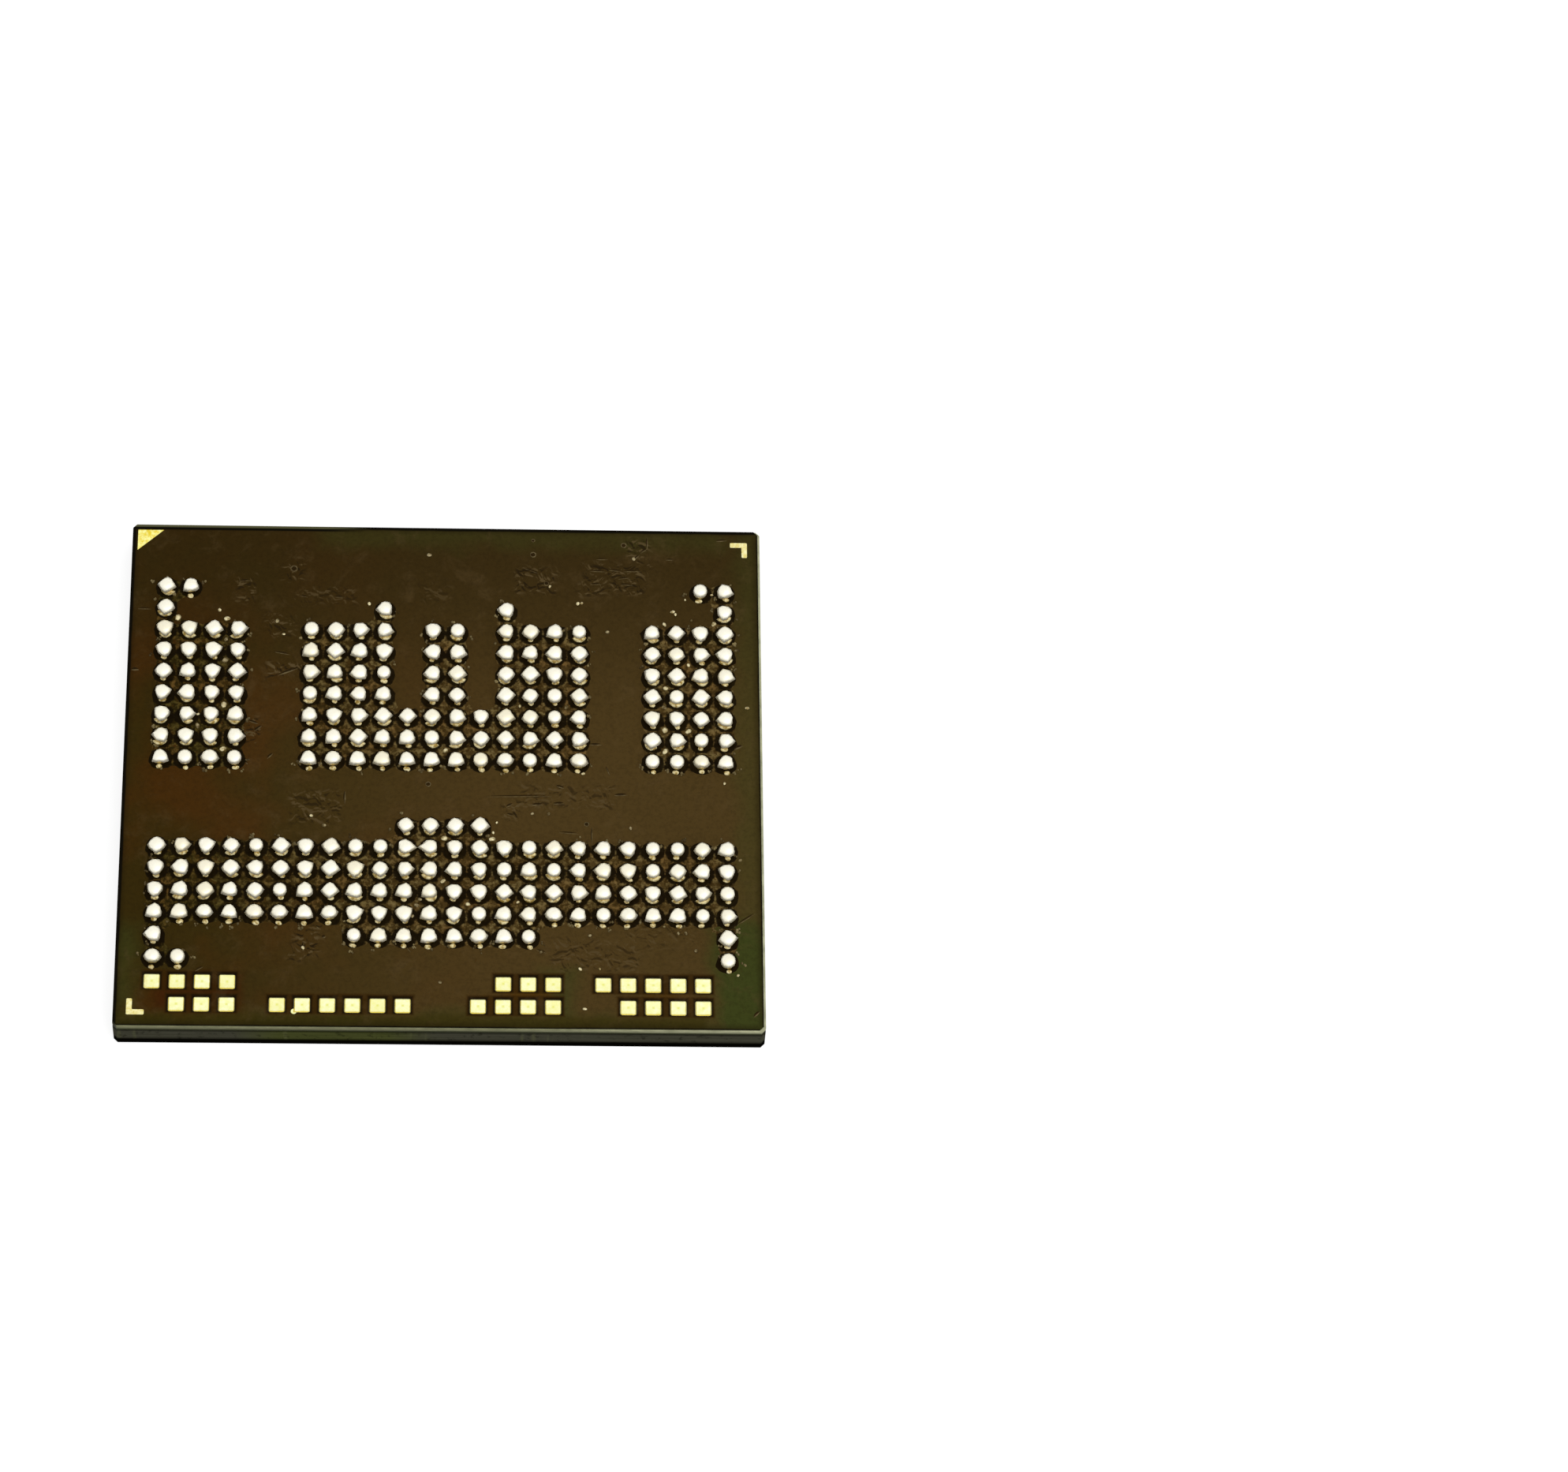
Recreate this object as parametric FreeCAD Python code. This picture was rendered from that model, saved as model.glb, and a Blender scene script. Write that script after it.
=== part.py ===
import FreeCAD, Part
import math
import os

# Thin stacked-memory package with a ball grid, lying on its moulded face with the balls up.
# X runs along the long side, Y along the short side, +Z towards the ball tips.
# The origin is the middle of the moulded face, and all sizes are in millimetres.

# Grid of sites for balls and test pads, column 1 at the left and row 1 at the far edge
site_pitch = 0.5
site_columns = 24
ball_rows = 18
pad_rows = 2

# Body, sawn from a moulded panel a little outside the outermost sites
side_margin = 0.75
end_margin = 0.5
laminate_thickness = 0.16
mask_thickness = 0.02
mould_cover = 0.15
corner_cut = 0.08

# Solder ball, reflowed on its land
ball_diameter = 0.32
ball_undercut = 0.025
ball_waist_height = 0.086
ball_height = 0.22
ball_crown_diameter = 0.15
ball_sides = 8
ball_crown_sides = 4

# Gold-plated copper on the ball side
gold_thickness = 0.012
test_pad_side = 0.31

# Spur left by the etching on one test pad
spur_site = (7, 20)
spur_width = 0.09
spur_reach = 0.06
spur_drop = 0.025

# Pin-one triangle, measured from the two edges of the body beside it
triangle_width = 0.54
triangle_height = 0.49
triangle_side_margin = 0.11
triangle_end_margin = 0.12

# Angle marks in two corners
angle_mark_arm = 0.36
angle_mark_width = 0.12
angle_mark_margin = 0.26

# Memory dies, thinned from the back, each on its film and stepped to bare the bond edge below
memory_thickness = 0.07
film_thickness = 0.02
die_step = 0.45

# Flash dies, measured in from the edges of the body and from the controller
flash_left_room = 2.9
flash_right_room = 0.85
flash_far_room = 0.95

# Working-memory dies, set back from the edges of the flash dies
ram_left_set_back = 0.95
ram_right_set_back = 0.25
ram_near_set_back = 0.35
ram_far_set_back = 1.0

# Controller die, near the edge with the test pads
controller_length = 3.4
controller_width = 1.6
controller_thickness = 0.10
controller_margin = 0.4
controller_clearance = 0.4

# Bond wires
wire_thickness = 0.02
wire_rise = 0.09
wire_pad_inset = 0.10
cascade_gap = 0.05

# Bond fingers, and how far from the edge of the die the wires land on them
finger_length = 0.25
finger_width = 0.10
finger_thickness = 0.015
flash_finger_gap = 0.45
ram_finger_gap = 0.75
controller_finger_gap = 0.40

# Rows of wires
flash_wire_count = 4
flash_wire_pitch = 1.6
ram_wire_count = 4
ram_wire_pitch = 1.8
controller_wire_count = 3
controller_wire_pitch = 0.45

# Outline of the body, which follows from the grid and its margins
body_length = (site_columns - 1) * site_pitch + 2 * side_margin
body_width = (ball_rows - 1 + 2 * pad_rows) * site_pitch + 2 * end_margin

# Depths of the die faces below the laminate, and levels above the moulded face
layer_depth = film_thickness + memory_thickness
stack_names = ["lower", "upper"]
stack_depth = 2 * len(stack_names) * layer_depth
laminate_bottom = stack_depth + wire_rise + mould_cover
laminate_top = laminate_bottom + laminate_thickness
mask_top = laminate_top + mask_thickness

# Outlines of the stacks: the near edge is the one with the test pads
controller_low = controller_margin - body_width / 2
flash_low = controller_low + controller_width + controller_clearance + ram_finger_gap
flash_width = body_width / 2 - flash_far_room - flash_low
flash_left = flash_left_room - body_length / 2
flash_length = body_length - flash_left_room - flash_right_room - die_step
ram_left = flash_left + die_step + ram_left_set_back
ram_length = flash_length - ram_left_set_back - ram_right_set_back
ram_low = flash_low + ram_near_set_back
ram_width = flash_width - ram_near_set_back - ram_far_set_back - die_step

# Ball fields as blocks of sites: first column, last column, first row, last row
ball_fields = {
    "solder_balls_corner_upper_left": [(1, 2, 1, 1), (1, 1, 2, 2)],
    "solder_balls_corner_upper_right": [(23, 24, 1, 1), (24, 24, 2, 2)],
    "solder_balls_corner_lower_left": [(1, 1, 17, 17), (1, 2, 18, 18)],
    "solder_balls_corner_lower_right": [(24, 24, 17, 18)],
    "solder_balls_left_block": [(1, 4, 3, 9)],
    "solder_balls_right_block": [(21, 24, 3, 9)],
    "solder_balls_middle_left": [(10, 10, 2, 2), (7, 10, 3, 6)],
    "solder_balls_middle_centre": [(12, 13, 3, 6)],
    "solder_balls_middle_right": [(15, 15, 2, 2), (15, 18, 3, 6)],
    "solder_balls_middle_base": [(7, 18, 7, 9)],
    "solder_balls_lower_band": [(1, 24, 13, 16)],
    "solder_balls_lower_band_crown": [(11, 14, 12, 12)],
    "solder_balls_lower_band_foot": [(9, 16, 17, 17)],
}

# Test pads on the same grid, past the last row of balls
pad_fields = {
    "test_pads_left": [(1, 4, 19, 19), (2, 4, 20, 20)],
    "test_pads_row": [(6, 11, 20, 20)],
    "test_pads_middle": [(15, 17, 19, 19), (14, 17, 20, 20)],
    "test_pads_right": [(19, 23, 19, 19), (20, 23, 20, 20)],
}


def prism(corners, bottom, height):
    """Upright solid on a closed outline given as (x, y) corners."""
    points = [FreeCAD.Vector(x, y, bottom) for x, y in corners]
    outline = Part.makePolygon(points + points[:1])
    return Part.Face(outline).extrude(FreeCAD.Vector(0, 0, height))


def body_slab(bottom, height):
    """Slab with the sawn outline of the body and its four blunt corners."""
    half_x = body_length / 2
    half_y = body_width / 2
    corners = [
        (corner_cut - half_x, -half_y),
        (half_x - corner_cut, -half_y),
        (half_x, corner_cut - half_y),
        (half_x, half_y - corner_cut),
        (half_x - corner_cut, half_y),
        (corner_cut - half_x, half_y),
        (-half_x, half_y - corner_cut),
        (-half_x, corner_cut - half_y),
    ]
    return prism(corners, bottom, height)


def sites(blocks):
    """Centres of all the sites in a list of blocks, with their column and row."""
    found = []
    for first_column, last_column, first_row, last_row in blocks:
        for row in range(first_row, last_row + 1):
            for column in range(first_column, last_column + 1):
                x = (column - (site_columns + 1) / 2) * site_pitch
                y = ((ball_rows + 1) / 2 - row) * site_pitch
                found.append((x, y, column, row))
    return found


def ring(diameter, height, sides):
    """Corners of a level regular ring, the first one on +X."""
    turn = 2 * math.pi / sides
    radius = diameter / 2
    return [
        FreeCAD.Vector(radius * math.cos(turn * i), radius * math.sin(turn * i), height)
        for i in range(sides)
    ]


def flat_face(points):
    """Flat face through its corners in order."""
    return Part.Face(Part.makePolygon(points + points[:1]))


def solder_ball():
    """One ball at the origin of its site: flat foot, widest at the waist, small flat crown."""
    foot = ring(ball_diameter - 2 * ball_undercut, mask_top, ball_sides)
    waist = ring(ball_diameter, mask_top + ball_waist_height, ball_sides)
    crown = ring(ball_crown_diameter, mask_top + ball_height, ball_crown_sides)
    faces = [flat_face(foot), flat_face(crown)]
    sides_per_crown_side = ball_sides // ball_crown_sides
    for i in range(ball_sides):
        following = (i + 1) % ball_sides
        faces.append(flat_face([foot[i], foot[following], waist[following], waist[i]]))
        nearest = (following // sides_per_crown_side) % ball_crown_sides
        faces.append(flat_face([waist[i], waist[following], crown[nearest]]))
    for i in range(ball_crown_sides):
        between = sides_per_crown_side * i + sides_per_crown_side // 2
        faces.append(flat_face([waist[between], crown[(i + 1) % ball_crown_sides], crown[i]]))
    ball = Part.Solid(Part.Shell(faces))
    if ball.Volume < 0:
        ball.reverse()
    return ball


def ball_field(blocks):
    """Separate balls on the sites of one field."""
    ball = solder_ball()
    return Part.makeCompound([ball.translated(FreeCAD.Vector(x, y, 0)) for x, y, _, _ in sites(blocks)])


def test_pad(x, y, spurred, height):
    """Square pad, one of which has a small etched spur at its lower left corner."""
    half = test_pad_side / 2
    corners = [(x - half, y - half), (x + half, y - half), (x + half, y + half), (x - half, y + half)]
    if spurred:
        tip = x - half - spur_reach
        corners[0:1] = [
            (x - half, y - half + spur_width),
            (tip, y - half + spur_width - spur_reach),
            (tip, y - half - spur_drop),
            (x - half, y - half - spur_drop),
            (x - half + spur_drop, y - half),
        ]
    return prism(corners, laminate_top, height)


def test_pad_field(blocks, height):
    """Separate pads on the sites of one group."""
    pads = [
        test_pad(x, y, (column, row) == spur_site, height)
        for x, y, column, row in sites(blocks)
    ]
    return Part.makeCompound(pads)


def pin_one_triangle(height):
    """Right triangle with its square corner at the upper left."""
    left = triangle_side_margin - body_length / 2
    top = body_width / 2 - triangle_end_margin
    corners = [(left, top), (left, top - triangle_height), (left + triangle_width, top)]
    return prism(corners, laminate_top, height)


def angle_mark(side, height):
    """Angle with two equal arms: side is 1 for the upper right corner and -1 for the lower left."""
    outer_x = side * (body_length / 2 - angle_mark_margin)
    outer_y = side * (body_width / 2 - angle_mark_margin)
    arm = side * angle_mark_arm
    width = side * angle_mark_width
    corners = [
        (outer_x, outer_y),
        (outer_x - arm, outer_y),
        (outer_x - arm, outer_y - width),
        (outer_x - width, outer_y - width),
        (outer_x - width, outer_y - arm),
        (outer_x, outer_y - arm),
    ]
    return prism(corners, laminate_top, height)


def gold_features(height):
    """All the gold shapes of the ball side, as thick as asked: the mask takes its openings from them."""
    shapes = {name: test_pad_field(blocks, height) for name, blocks in pad_fields.items()}
    shapes["pin_one_triangle"] = pin_one_triangle(height)
    shapes["corner_mark_upper_right"] = angle_mark(1, height)
    shapes["corner_mark_lower_left"] = angle_mark(-1, height)
    return shapes


def solder_mask():
    """Thin skin over the laminate, open at every gold shape."""
    openings = list(gold_features(mask_thickness).values())
    return body_slab(laminate_top, mask_thickness).cut(openings)


def slab_below(depth, thickness, left, low, length, width):
    """Flat piece hung under the laminate: depth is how far below the laminate its upper face lies."""
    corner = FreeCAD.Vector(left, low, laminate_bottom - depth - thickness)
    return Part.makeBox(length, width, thickness, corner)


def die_on_film(kind, level_name, depth, thickness, outline):
    """A die and the film that holds it; the outline is their left edge, near edge, length and width."""
    return {
        kind + "_film" + level_name: slab_below(depth, film_thickness, *outline),
        kind + "_die" + level_name: slab_below(depth + film_thickness, thickness, *outline),
    }


def flash_dies():
    """Two flash dies on the laminate; the second is stepped to the right."""
    shapes = {}
    for level, name in enumerate(stack_names):
        outline = (flash_left + level * die_step, flash_low, flash_length, flash_width)
        shapes.update(die_on_film("flash", "_" + name, level * layer_depth, memory_thickness, outline))
    return shapes


def ram_dies():
    """Two working-memory dies on the flash dies; the second is stepped to the far side."""
    shapes = {}
    for level, name in enumerate(stack_names):
        depth = (len(stack_names) + level) * layer_depth
        outline = (ram_left, ram_low + level * die_step, ram_length, ram_width)
        shapes.update(die_on_film("ram", "_" + name, depth, memory_thickness, outline))
    return shapes


def controller():
    """Controller die on the laminate beside the stack, on the middle line of the body."""
    outline = (-controller_length / 2, controller_low, controller_length, controller_width)
    return die_on_film("controller", "", 0, controller_thickness, outline)


def bond_wire(start_depth, end_depth, run):
    """Wire that rises from its die pad at the origin and slopes along +X to where it lands."""
    crest = start_depth + wire_rise
    corners = [
        (0, start_depth),
        (0, crest),
        (run, end_depth),
        (run - wire_thickness, end_depth),
        (wire_thickness, crest - wire_thickness),
        (wire_thickness, start_depth),
    ]
    side = -wire_thickness / 2
    outline = [FreeCAD.Vector(x, side, laminate_bottom - depth) for x, depth in corners]
    return flat_face(outline).extrude(FreeCAD.Vector(0, wire_thickness, 0))


def bond_finger(run):
    """Gold-plated finger on the laminate, under the end of a wire that runs along +X."""
    middle = run - wire_thickness / 2
    return slab_below(
        0, finger_thickness, middle - finger_length / 2, -finger_width / 2, finger_length, finger_width
    )


def spread(shape, angle, places):
    """Copies of a piece made along +X, turned by the angle and set at each (x, y) place."""
    copies = []
    for x, y in places:
        copy = shape.copy()
        copy.rotate(FreeCAD.Vector(0, 0, 0), FreeCAD.Vector(0, 0, 1), angle)
        copy.translate(FreeCAD.Vector(x, y, 0))
        copies.append(copy)
    return Part.makeCompound(copies)


def row_offsets(count, pitch):
    """Evenly spaced offsets centred on zero."""
    return [(i - (count - 1) / 2) * pitch for i in range(count)]


def cascade(kind, angle, levels, finger_gap, places, step_to):
    """Wires of a stepped pair of dies, from the upper to the lower and on to fingers on the laminate.

    The pair's lower bond face is as many levels below the laminate as stated. The places are its bond
    pads, and step_to moves a place to the pad above it on the upper die.
    """
    lower_face = levels * layer_depth
    upper_face = lower_face + layer_depth
    run = wire_pad_inset + finger_gap
    step_run = die_step - wire_thickness - cascade_gap
    return {
        "bond_wires_" + kind + "_lower": spread(bond_wire(lower_face, finger_thickness, run), angle, places),
        "bond_wires_" + kind + "_upper": spread(
            bond_wire(upper_face, lower_face, step_run), angle, [step_to(x, y) for x, y in places]
        ),
        "bond_fingers_" + kind: spread(bond_finger(run), angle, places),
    }


def flash_wires():
    """Wires down the left edges of the flash dies."""
    pad_x = flash_left + wire_pad_inset
    middle = flash_low + flash_width / 2
    places = [(pad_x, middle + offset) for offset in row_offsets(flash_wire_count, flash_wire_pitch)]
    return cascade("flash", 180, 1, flash_finger_gap, places, lambda x, y: (x + die_step, y))


def ram_wires():
    """Wires down the near edges of the working-memory dies, past the flash dies under them."""
    pad_y = ram_low + wire_pad_inset
    middle = ram_left + ram_length / 2
    places = [(middle + offset, pad_y) for offset in row_offsets(ram_wire_count, ram_wire_pitch)]
    levels = len(stack_names) + 1
    finger_gap = ram_near_set_back + ram_finger_gap
    return cascade("ram", -90, levels, finger_gap, places, lambda x, y: (x, y + die_step))


def controller_wires():
    """Wires from both short sides of the controller die to fingers beside it."""
    face = film_thickness + controller_thickness
    run = wire_pad_inset + controller_finger_gap
    reach = controller_length / 2 - wire_pad_inset
    middle = controller_low + controller_width / 2
    rows = [middle + offset for offset in row_offsets(controller_wire_count, controller_wire_pitch)]
    wires = []
    fingers = []
    for side, angle in [(-1, 180), (1, 0)]:
        places = [(side * reach, y) for y in rows]
        wires += spread(bond_wire(face, finger_thickness, run), angle, places).Solids
        fingers += spread(bond_finger(run), angle, places).Solids
    return {
        "bond_wires_controller": Part.makeCompound(wires),
        "bond_fingers_controller": Part.makeCompound(fingers),
    }


def sealed_pieces():
    """Everything that the moulding compound closes in."""
    shapes = {}
    for group in (flash_dies(), ram_dies(), controller(), flash_wires(), ram_wires(), controller_wires()):
        shapes.update(group)
    return shapes


def mould_cap(inner):
    """Epoxy compound cast round the dies and wires, flush with the laminate on all four sides."""
    return body_slab(0, laminate_bottom).cut([solid for shape in inner.values() for solid in shape.Solids])


def all_shapes():
    """Every sub-part by its name."""
    inner = sealed_pieces()
    shapes = {
        "mould_cap": mould_cap(inner),
        "laminate": body_slab(laminate_bottom, laminate_thickness),
        "solder_mask": solder_mask(),
    }
    shapes.update(gold_features(gold_thickness))
    shapes.update({name: ball_field(blocks) for name, blocks in ball_fields.items()})
    shapes.update(inner)
    return shapes


os.makedirs("parts", exist_ok=True)
for name, shape in all_shapes().items():
    shape.exportStep("parts/" + name + ".step")
    print(name, len(shape.Solids), round(shape.Volume, 5))
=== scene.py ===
import math
import random

import bmesh
import bpy
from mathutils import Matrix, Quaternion, Vector


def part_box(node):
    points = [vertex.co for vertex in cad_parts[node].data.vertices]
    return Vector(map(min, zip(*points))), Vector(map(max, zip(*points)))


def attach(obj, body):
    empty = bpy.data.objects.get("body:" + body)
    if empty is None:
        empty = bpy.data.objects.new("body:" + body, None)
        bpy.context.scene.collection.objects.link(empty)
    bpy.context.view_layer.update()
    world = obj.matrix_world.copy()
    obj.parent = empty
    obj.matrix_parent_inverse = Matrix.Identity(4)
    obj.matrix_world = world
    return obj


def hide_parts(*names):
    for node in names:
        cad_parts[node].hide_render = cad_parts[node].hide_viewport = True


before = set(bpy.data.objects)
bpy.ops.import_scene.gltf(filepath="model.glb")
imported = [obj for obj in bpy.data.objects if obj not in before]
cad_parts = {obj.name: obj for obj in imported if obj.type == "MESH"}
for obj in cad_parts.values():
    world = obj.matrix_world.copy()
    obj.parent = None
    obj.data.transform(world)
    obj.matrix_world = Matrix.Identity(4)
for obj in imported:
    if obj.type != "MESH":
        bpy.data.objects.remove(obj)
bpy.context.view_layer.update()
mm = 0.001


# Laminate: glass cloth in bismaleimide resin with plated copper on it, pressed as a large panel.
# The saw that parts the panel leaves it flush with the moulding, so its pale cut side shows all round.
def linear(hex_colour):
    """Linear colour of an sRGB hex value."""
    channels = []
    for start in (1, 3, 5):
        value = int(hex_colour[start : start + 2], 16) / 255
        channels.append(value / 12.92 if value <= 0.04045 else ((value + 0.055) / 1.055) ** 2.4)
    return (*channels, 1.0)


def add_node(material, kind, settings, inputs):
    """New node with its settings, and a value or a link for each of the inputs named."""
    tree = material.node_tree
    node = tree.nodes.new(kind)
    for name, value in settings.items():
        setattr(node, name, value)
    for name, value in inputs.items():
        if isinstance(value, bpy.types.NodeSocket):
            tree.links.new(value, node.inputs[name])
        else:
            node.inputs[name].default_value = value
    return node.outputs[0] if node.outputs else node


def start_material(name, **shader_values):
    """New material, its shader with constants set, and the place on the object in metres."""
    material = bpy.data.materials.new(name)
    material.use_nodes = True
    shader = material.node_tree.nodes["Principled BSDF"]
    for socket, value in shader_values.items():
        shader.inputs[socket.replace("_", " ")].default_value = value
    place = material.node_tree.nodes.new("ShaderNodeTexCoord").outputs["Object"]
    return material, shader, place


def feed(material, shader, socket, source):
    """Link into a socket of the shader."""
    material.node_tree.links.new(source, shader.inputs[socket])


def only(piece):
    """The piece alone selected and active."""
    bpy.ops.object.select_all(action="DESELECT")
    piece.select_set(True)
    bpy.context.view_layer.objects.active = piece


def edit(piece):
    """Edit mode on the piece alone, with nothing selected in it."""
    only(piece)
    bpy.ops.object.mode_set(mode="EDIT")
    bpy.ops.mesh.select_all(action="DESELECT")


def pick(piece, kind, test):
    """Selection in edit mode of the verts, edges or faces that pass the test."""
    bpy.ops.mesh.select_mode(type={"verts": "VERT", "edges": "EDGE", "faces": "FACE"}[kind])
    bpy.ops.mesh.select_all(action="DESELECT")
    mesh = bmesh.from_edit_mesh(piece.data)
    for part in getattr(mesh, kind):
        if test(part):
            part.select_set(True)
    mesh.select_flush_mode()
    bmesh.update_edit_mesh(piece.data)


def close(piece):
    """Back to object mode."""
    bpy.ops.object.mode_set(mode="OBJECT")
    only(piece)


def cad_copy(node, name):
    """Copy of a CAD node with its loose triangles merged into clean faces."""
    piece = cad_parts[node].copy()
    piece.data = piece.data.copy()
    piece.parent = None
    piece.hide_viewport = False
    piece.hide_render = False
    for key in list(piece.keys()):
        del piece[key]
    piece.name = name
    bpy.context.scene.collection.objects.link(piece)
    edit(piece)
    bpy.ops.mesh.select_all(action="SELECT")
    bpy.ops.mesh.remove_doubles(threshold=0.001 * mm)
    bpy.ops.mesh.dissolve_limited(angle_limit=math.radians(1))
    close(piece)
    return piece


def apply(piece, kind, **settings):
    """One modifier added and applied."""
    only(piece)
    modifier = piece.modifiers.new(kind.lower(), kind)
    for name, value in settings.items():
        setattr(modifier, name, value)
    bpy.ops.object.modifier_apply(modifier=modifier.name)


def finish(piece, name, slot, material, *replaced):
    """Place applied to the mesh, finish given, riding on the package, standing for CAD nodes."""
    only(piece)
    bpy.ops.object.transform_apply(location=True, rotation=True, scale=True)
    piece.name = name
    piece.data.name = name
    piece.data.materials.clear()
    piece.data.materials.append(material)
    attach(piece, "root")
    if replaced:
        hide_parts(*replaced)


laminate_low, laminate_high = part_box("laminate")
die_side_mask = 0.022 * mm
saw_burr = 0.006 * mm
laminate_edge = 0.008 * mm

# Settings that many nodes share: a range with soft ends, and a mix of two colours
soft_step = {"interpolation_type": "SMOOTHSTEP"}
two_colours = {"data_type": "RGBA"}

# Sawn glass-and-resin edge: pale green-grey, matt, dark where the two lacquer skins meet it
sawn_resin, sawn_shader, place = start_material(
    "sawn glass and resin laminate", Roughness=0.7, Specular_IOR_Level=0.1
)
axes = add_node(sawn_resin, "ShaderNodeSeparateXYZ", {}, {"Vector": place}).node.outputs
# Glass bundles cut across, about 0.25 mm apart along the edge and one layer deep
bundles = add_node(
    sawn_resin, "ShaderNodeMapping", {}, {"Vector": place, "Scale": (4 / mm, 4 / mm, 14 / mm)}
)
bundle_noise = add_node(
    sawn_resin, "ShaderNodeTexNoise", {}, {"Vector": bundles, "Scale": 1.0, "Detail": 4.0}
)
to_the_right = add_node(
    sawn_resin,
    "ShaderNodeMapRange",
    soft_step,
    {"Value": axes["X"], "From Min": 0.5 * mm, "From Max": 6.5 * mm},
)
core_colour = add_node(
    sawn_resin, "ShaderNodeMix", two_colours, {0: to_the_right, 6: linear("#8c8c6a"), 7: linear("#c6c6a0")}
).node.outputs[2]
streaked = add_node(
    sawn_resin,
    "ShaderNodeMapRange",
    {},
    {"Value": bundle_noise, "From Min": 0.35, "From Max": 0.7, "To Min": 0.0, "To Max": 0.45},
)
streaked_core = add_node(
    sawn_resin, "ShaderNodeMix", two_colours, {0: streaked, 6: core_colour, 7: linear("#55573f")}
).node.outputs[2]
above_mask = add_node(
    sawn_resin,
    "ShaderNodeMapRange",
    soft_step,
    {"Value": axes["Z"], "From Min": laminate_low.z + 0.04 * mm, "From Max": laminate_low.z + 0.11 * mm},
)
layered = add_node(
    sawn_resin, "ShaderNodeMix", two_colours, {0: above_mask, 6: linear("#303219"), 7: streaked_core}
).node.outputs[2]
# The left end of the cut side is dark brown
at_left_corner = add_node(
    sawn_resin,
    "ShaderNodeMapRange",
    soft_step,
    {"Value": axes["X"], "From Min": -6.39 * mm, "From Max": -6.45 * mm, "To Max": 0.9},
)
side_tone = add_node(
    sawn_resin, "ShaderNodeMix", two_colours, {0: at_left_corner, 6: layered, 7: linear("#1c170c")}
).node.outputs[2]
feed(sawn_resin, sawn_shader, "Base Color", side_tone)
sawn_bump = add_node(
    sawn_resin, "ShaderNodeBump", {}, {"Strength": 0.5, "Distance": 0.006 * mm, "Height": bundle_noise}
)
feed(sawn_resin, sawn_shader, "Normal", sawn_bump)

laminate = cad_copy("laminate", "laminate_copy")
edit(laminate)
bpy.ops.mesh.select_all(action="SELECT")
bpy.ops.mesh.bisect(plane_co=(0, 0, laminate_low.z + die_side_mask), plane_no=(0, 0, 1), threshold=1e-7)
pick(laminate, "verts", lambda v: v.co.z < laminate_low.z + die_side_mask * 1.1)
inward = 1 - saw_burr / laminate_high.x
bpy.ops.transform.resize(value=(inward, inward, 1), center_override=(0, 0, 0))
close(laminate)
apply(laminate, "BEVEL", width=laminate_edge, segments=2, limit_method="ANGLE")
finish(laminate, "sawn_laminate", "laminate", sawn_resin, "laminate")


# Memory and controller dies: silicon ground thin from the back, with polished circuits on the face.
# They lie face down under the laminate, stepped so that the edge with the bond pads stays bare.
silicon, silicon_shader, place = start_material("thinned silicon", Metallic=0.35, Roughness=0.22)
# Blocks of memory cells, about 0.4 mm across, seen as slight changes of tone
cell_blocks = add_node(
    silicon, "ShaderNodeTexVoronoi", {"distance": "CHEBYCHEV"}, {"Vector": place, "Scale": 2.5 / mm}
)
cell_tone = add_node(
    silicon, "ShaderNodeMix", two_colours, {0: cell_blocks, 6: linear("#43474f"), 7: linear("#5a5f6b")}
).node.outputs[2]
feed(silicon, silicon_shader, "Base Color", cell_tone)


def coat(nodes, material):
    """CAD nodes that keep their own meshes, given a material."""
    for node in nodes:
        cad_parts[node].data.materials.clear()
        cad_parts[node].data.materials.append(material)


coat(("flash_die_lower", "flash_die_upper", "ram_die_lower", "ram_die_upper", "controller_die"), silicon)


# Die attach film: a filled epoxy tape, laminated to the wafer and cut with it.
# It glues each die to the laminate or to the die before it.
def mottled(name, scale, detail, dark, pale, low=0.0, high=1.0, **shader_values):
    """Material of two tones in patches: a noise, stretched between low and high, picks between them."""
    material, shader, place = start_material(name, **shader_values)
    noise = add_node(material, "ShaderNodeTexNoise", {}, {"Vector": place, "Scale": scale, "Detail": detail})
    share = add_node(material, "ShaderNodeMapRange", {}, {"Value": noise, "From Min": low, "From Max": high})
    tone = add_node(
        material, "ShaderNodeMix", two_colours, {0: share, 6: linear(dark), 7: linear(pale)}
    ).node.outputs[2]
    feed(material, shader, "Base Color", tone)
    return material


# Silver-grey filler in amber resin, about 0.02 mm grains
film = mottled("die attach film", 50 / mm, 2.0, "#5c4a2c", "#8a7850", Roughness=0.6)
coat(("flash_film_lower", "flash_film_upper", "ram_film_lower", "ram_film_upper", "controller_film"), film)


# Bond wires and fingers: drawn gold wire, ball-bonded to the dies and stitched to plated fingers.
# They carry every signal from the dies to the laminate, and the moulding holds them still.
# The lines of the drawing die are coarser here than they are, so that they show at all.
wire_gold = mottled("drawn gold wire", 40 / mm, 1.0, "#e0b352", "#f6d584", Metallic=1.0, Roughness=0.25)
coat([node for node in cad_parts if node.startswith("bond_")], wire_gold)


# Mould cap: black epoxy with silica filler, pressed over the whole panel and sawn with it.
# Its sides carry fine saw lines, and its flat face has the grain of the mould's film.
cap_low, cap_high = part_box("mould_cap")
cap_edge = 0.035 * mm
sawn_corner = 0.03 * mm
moulded_height = 0.05 * mm
# Points closer than this lie on the same spot
hair = 0.01 * mm

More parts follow.
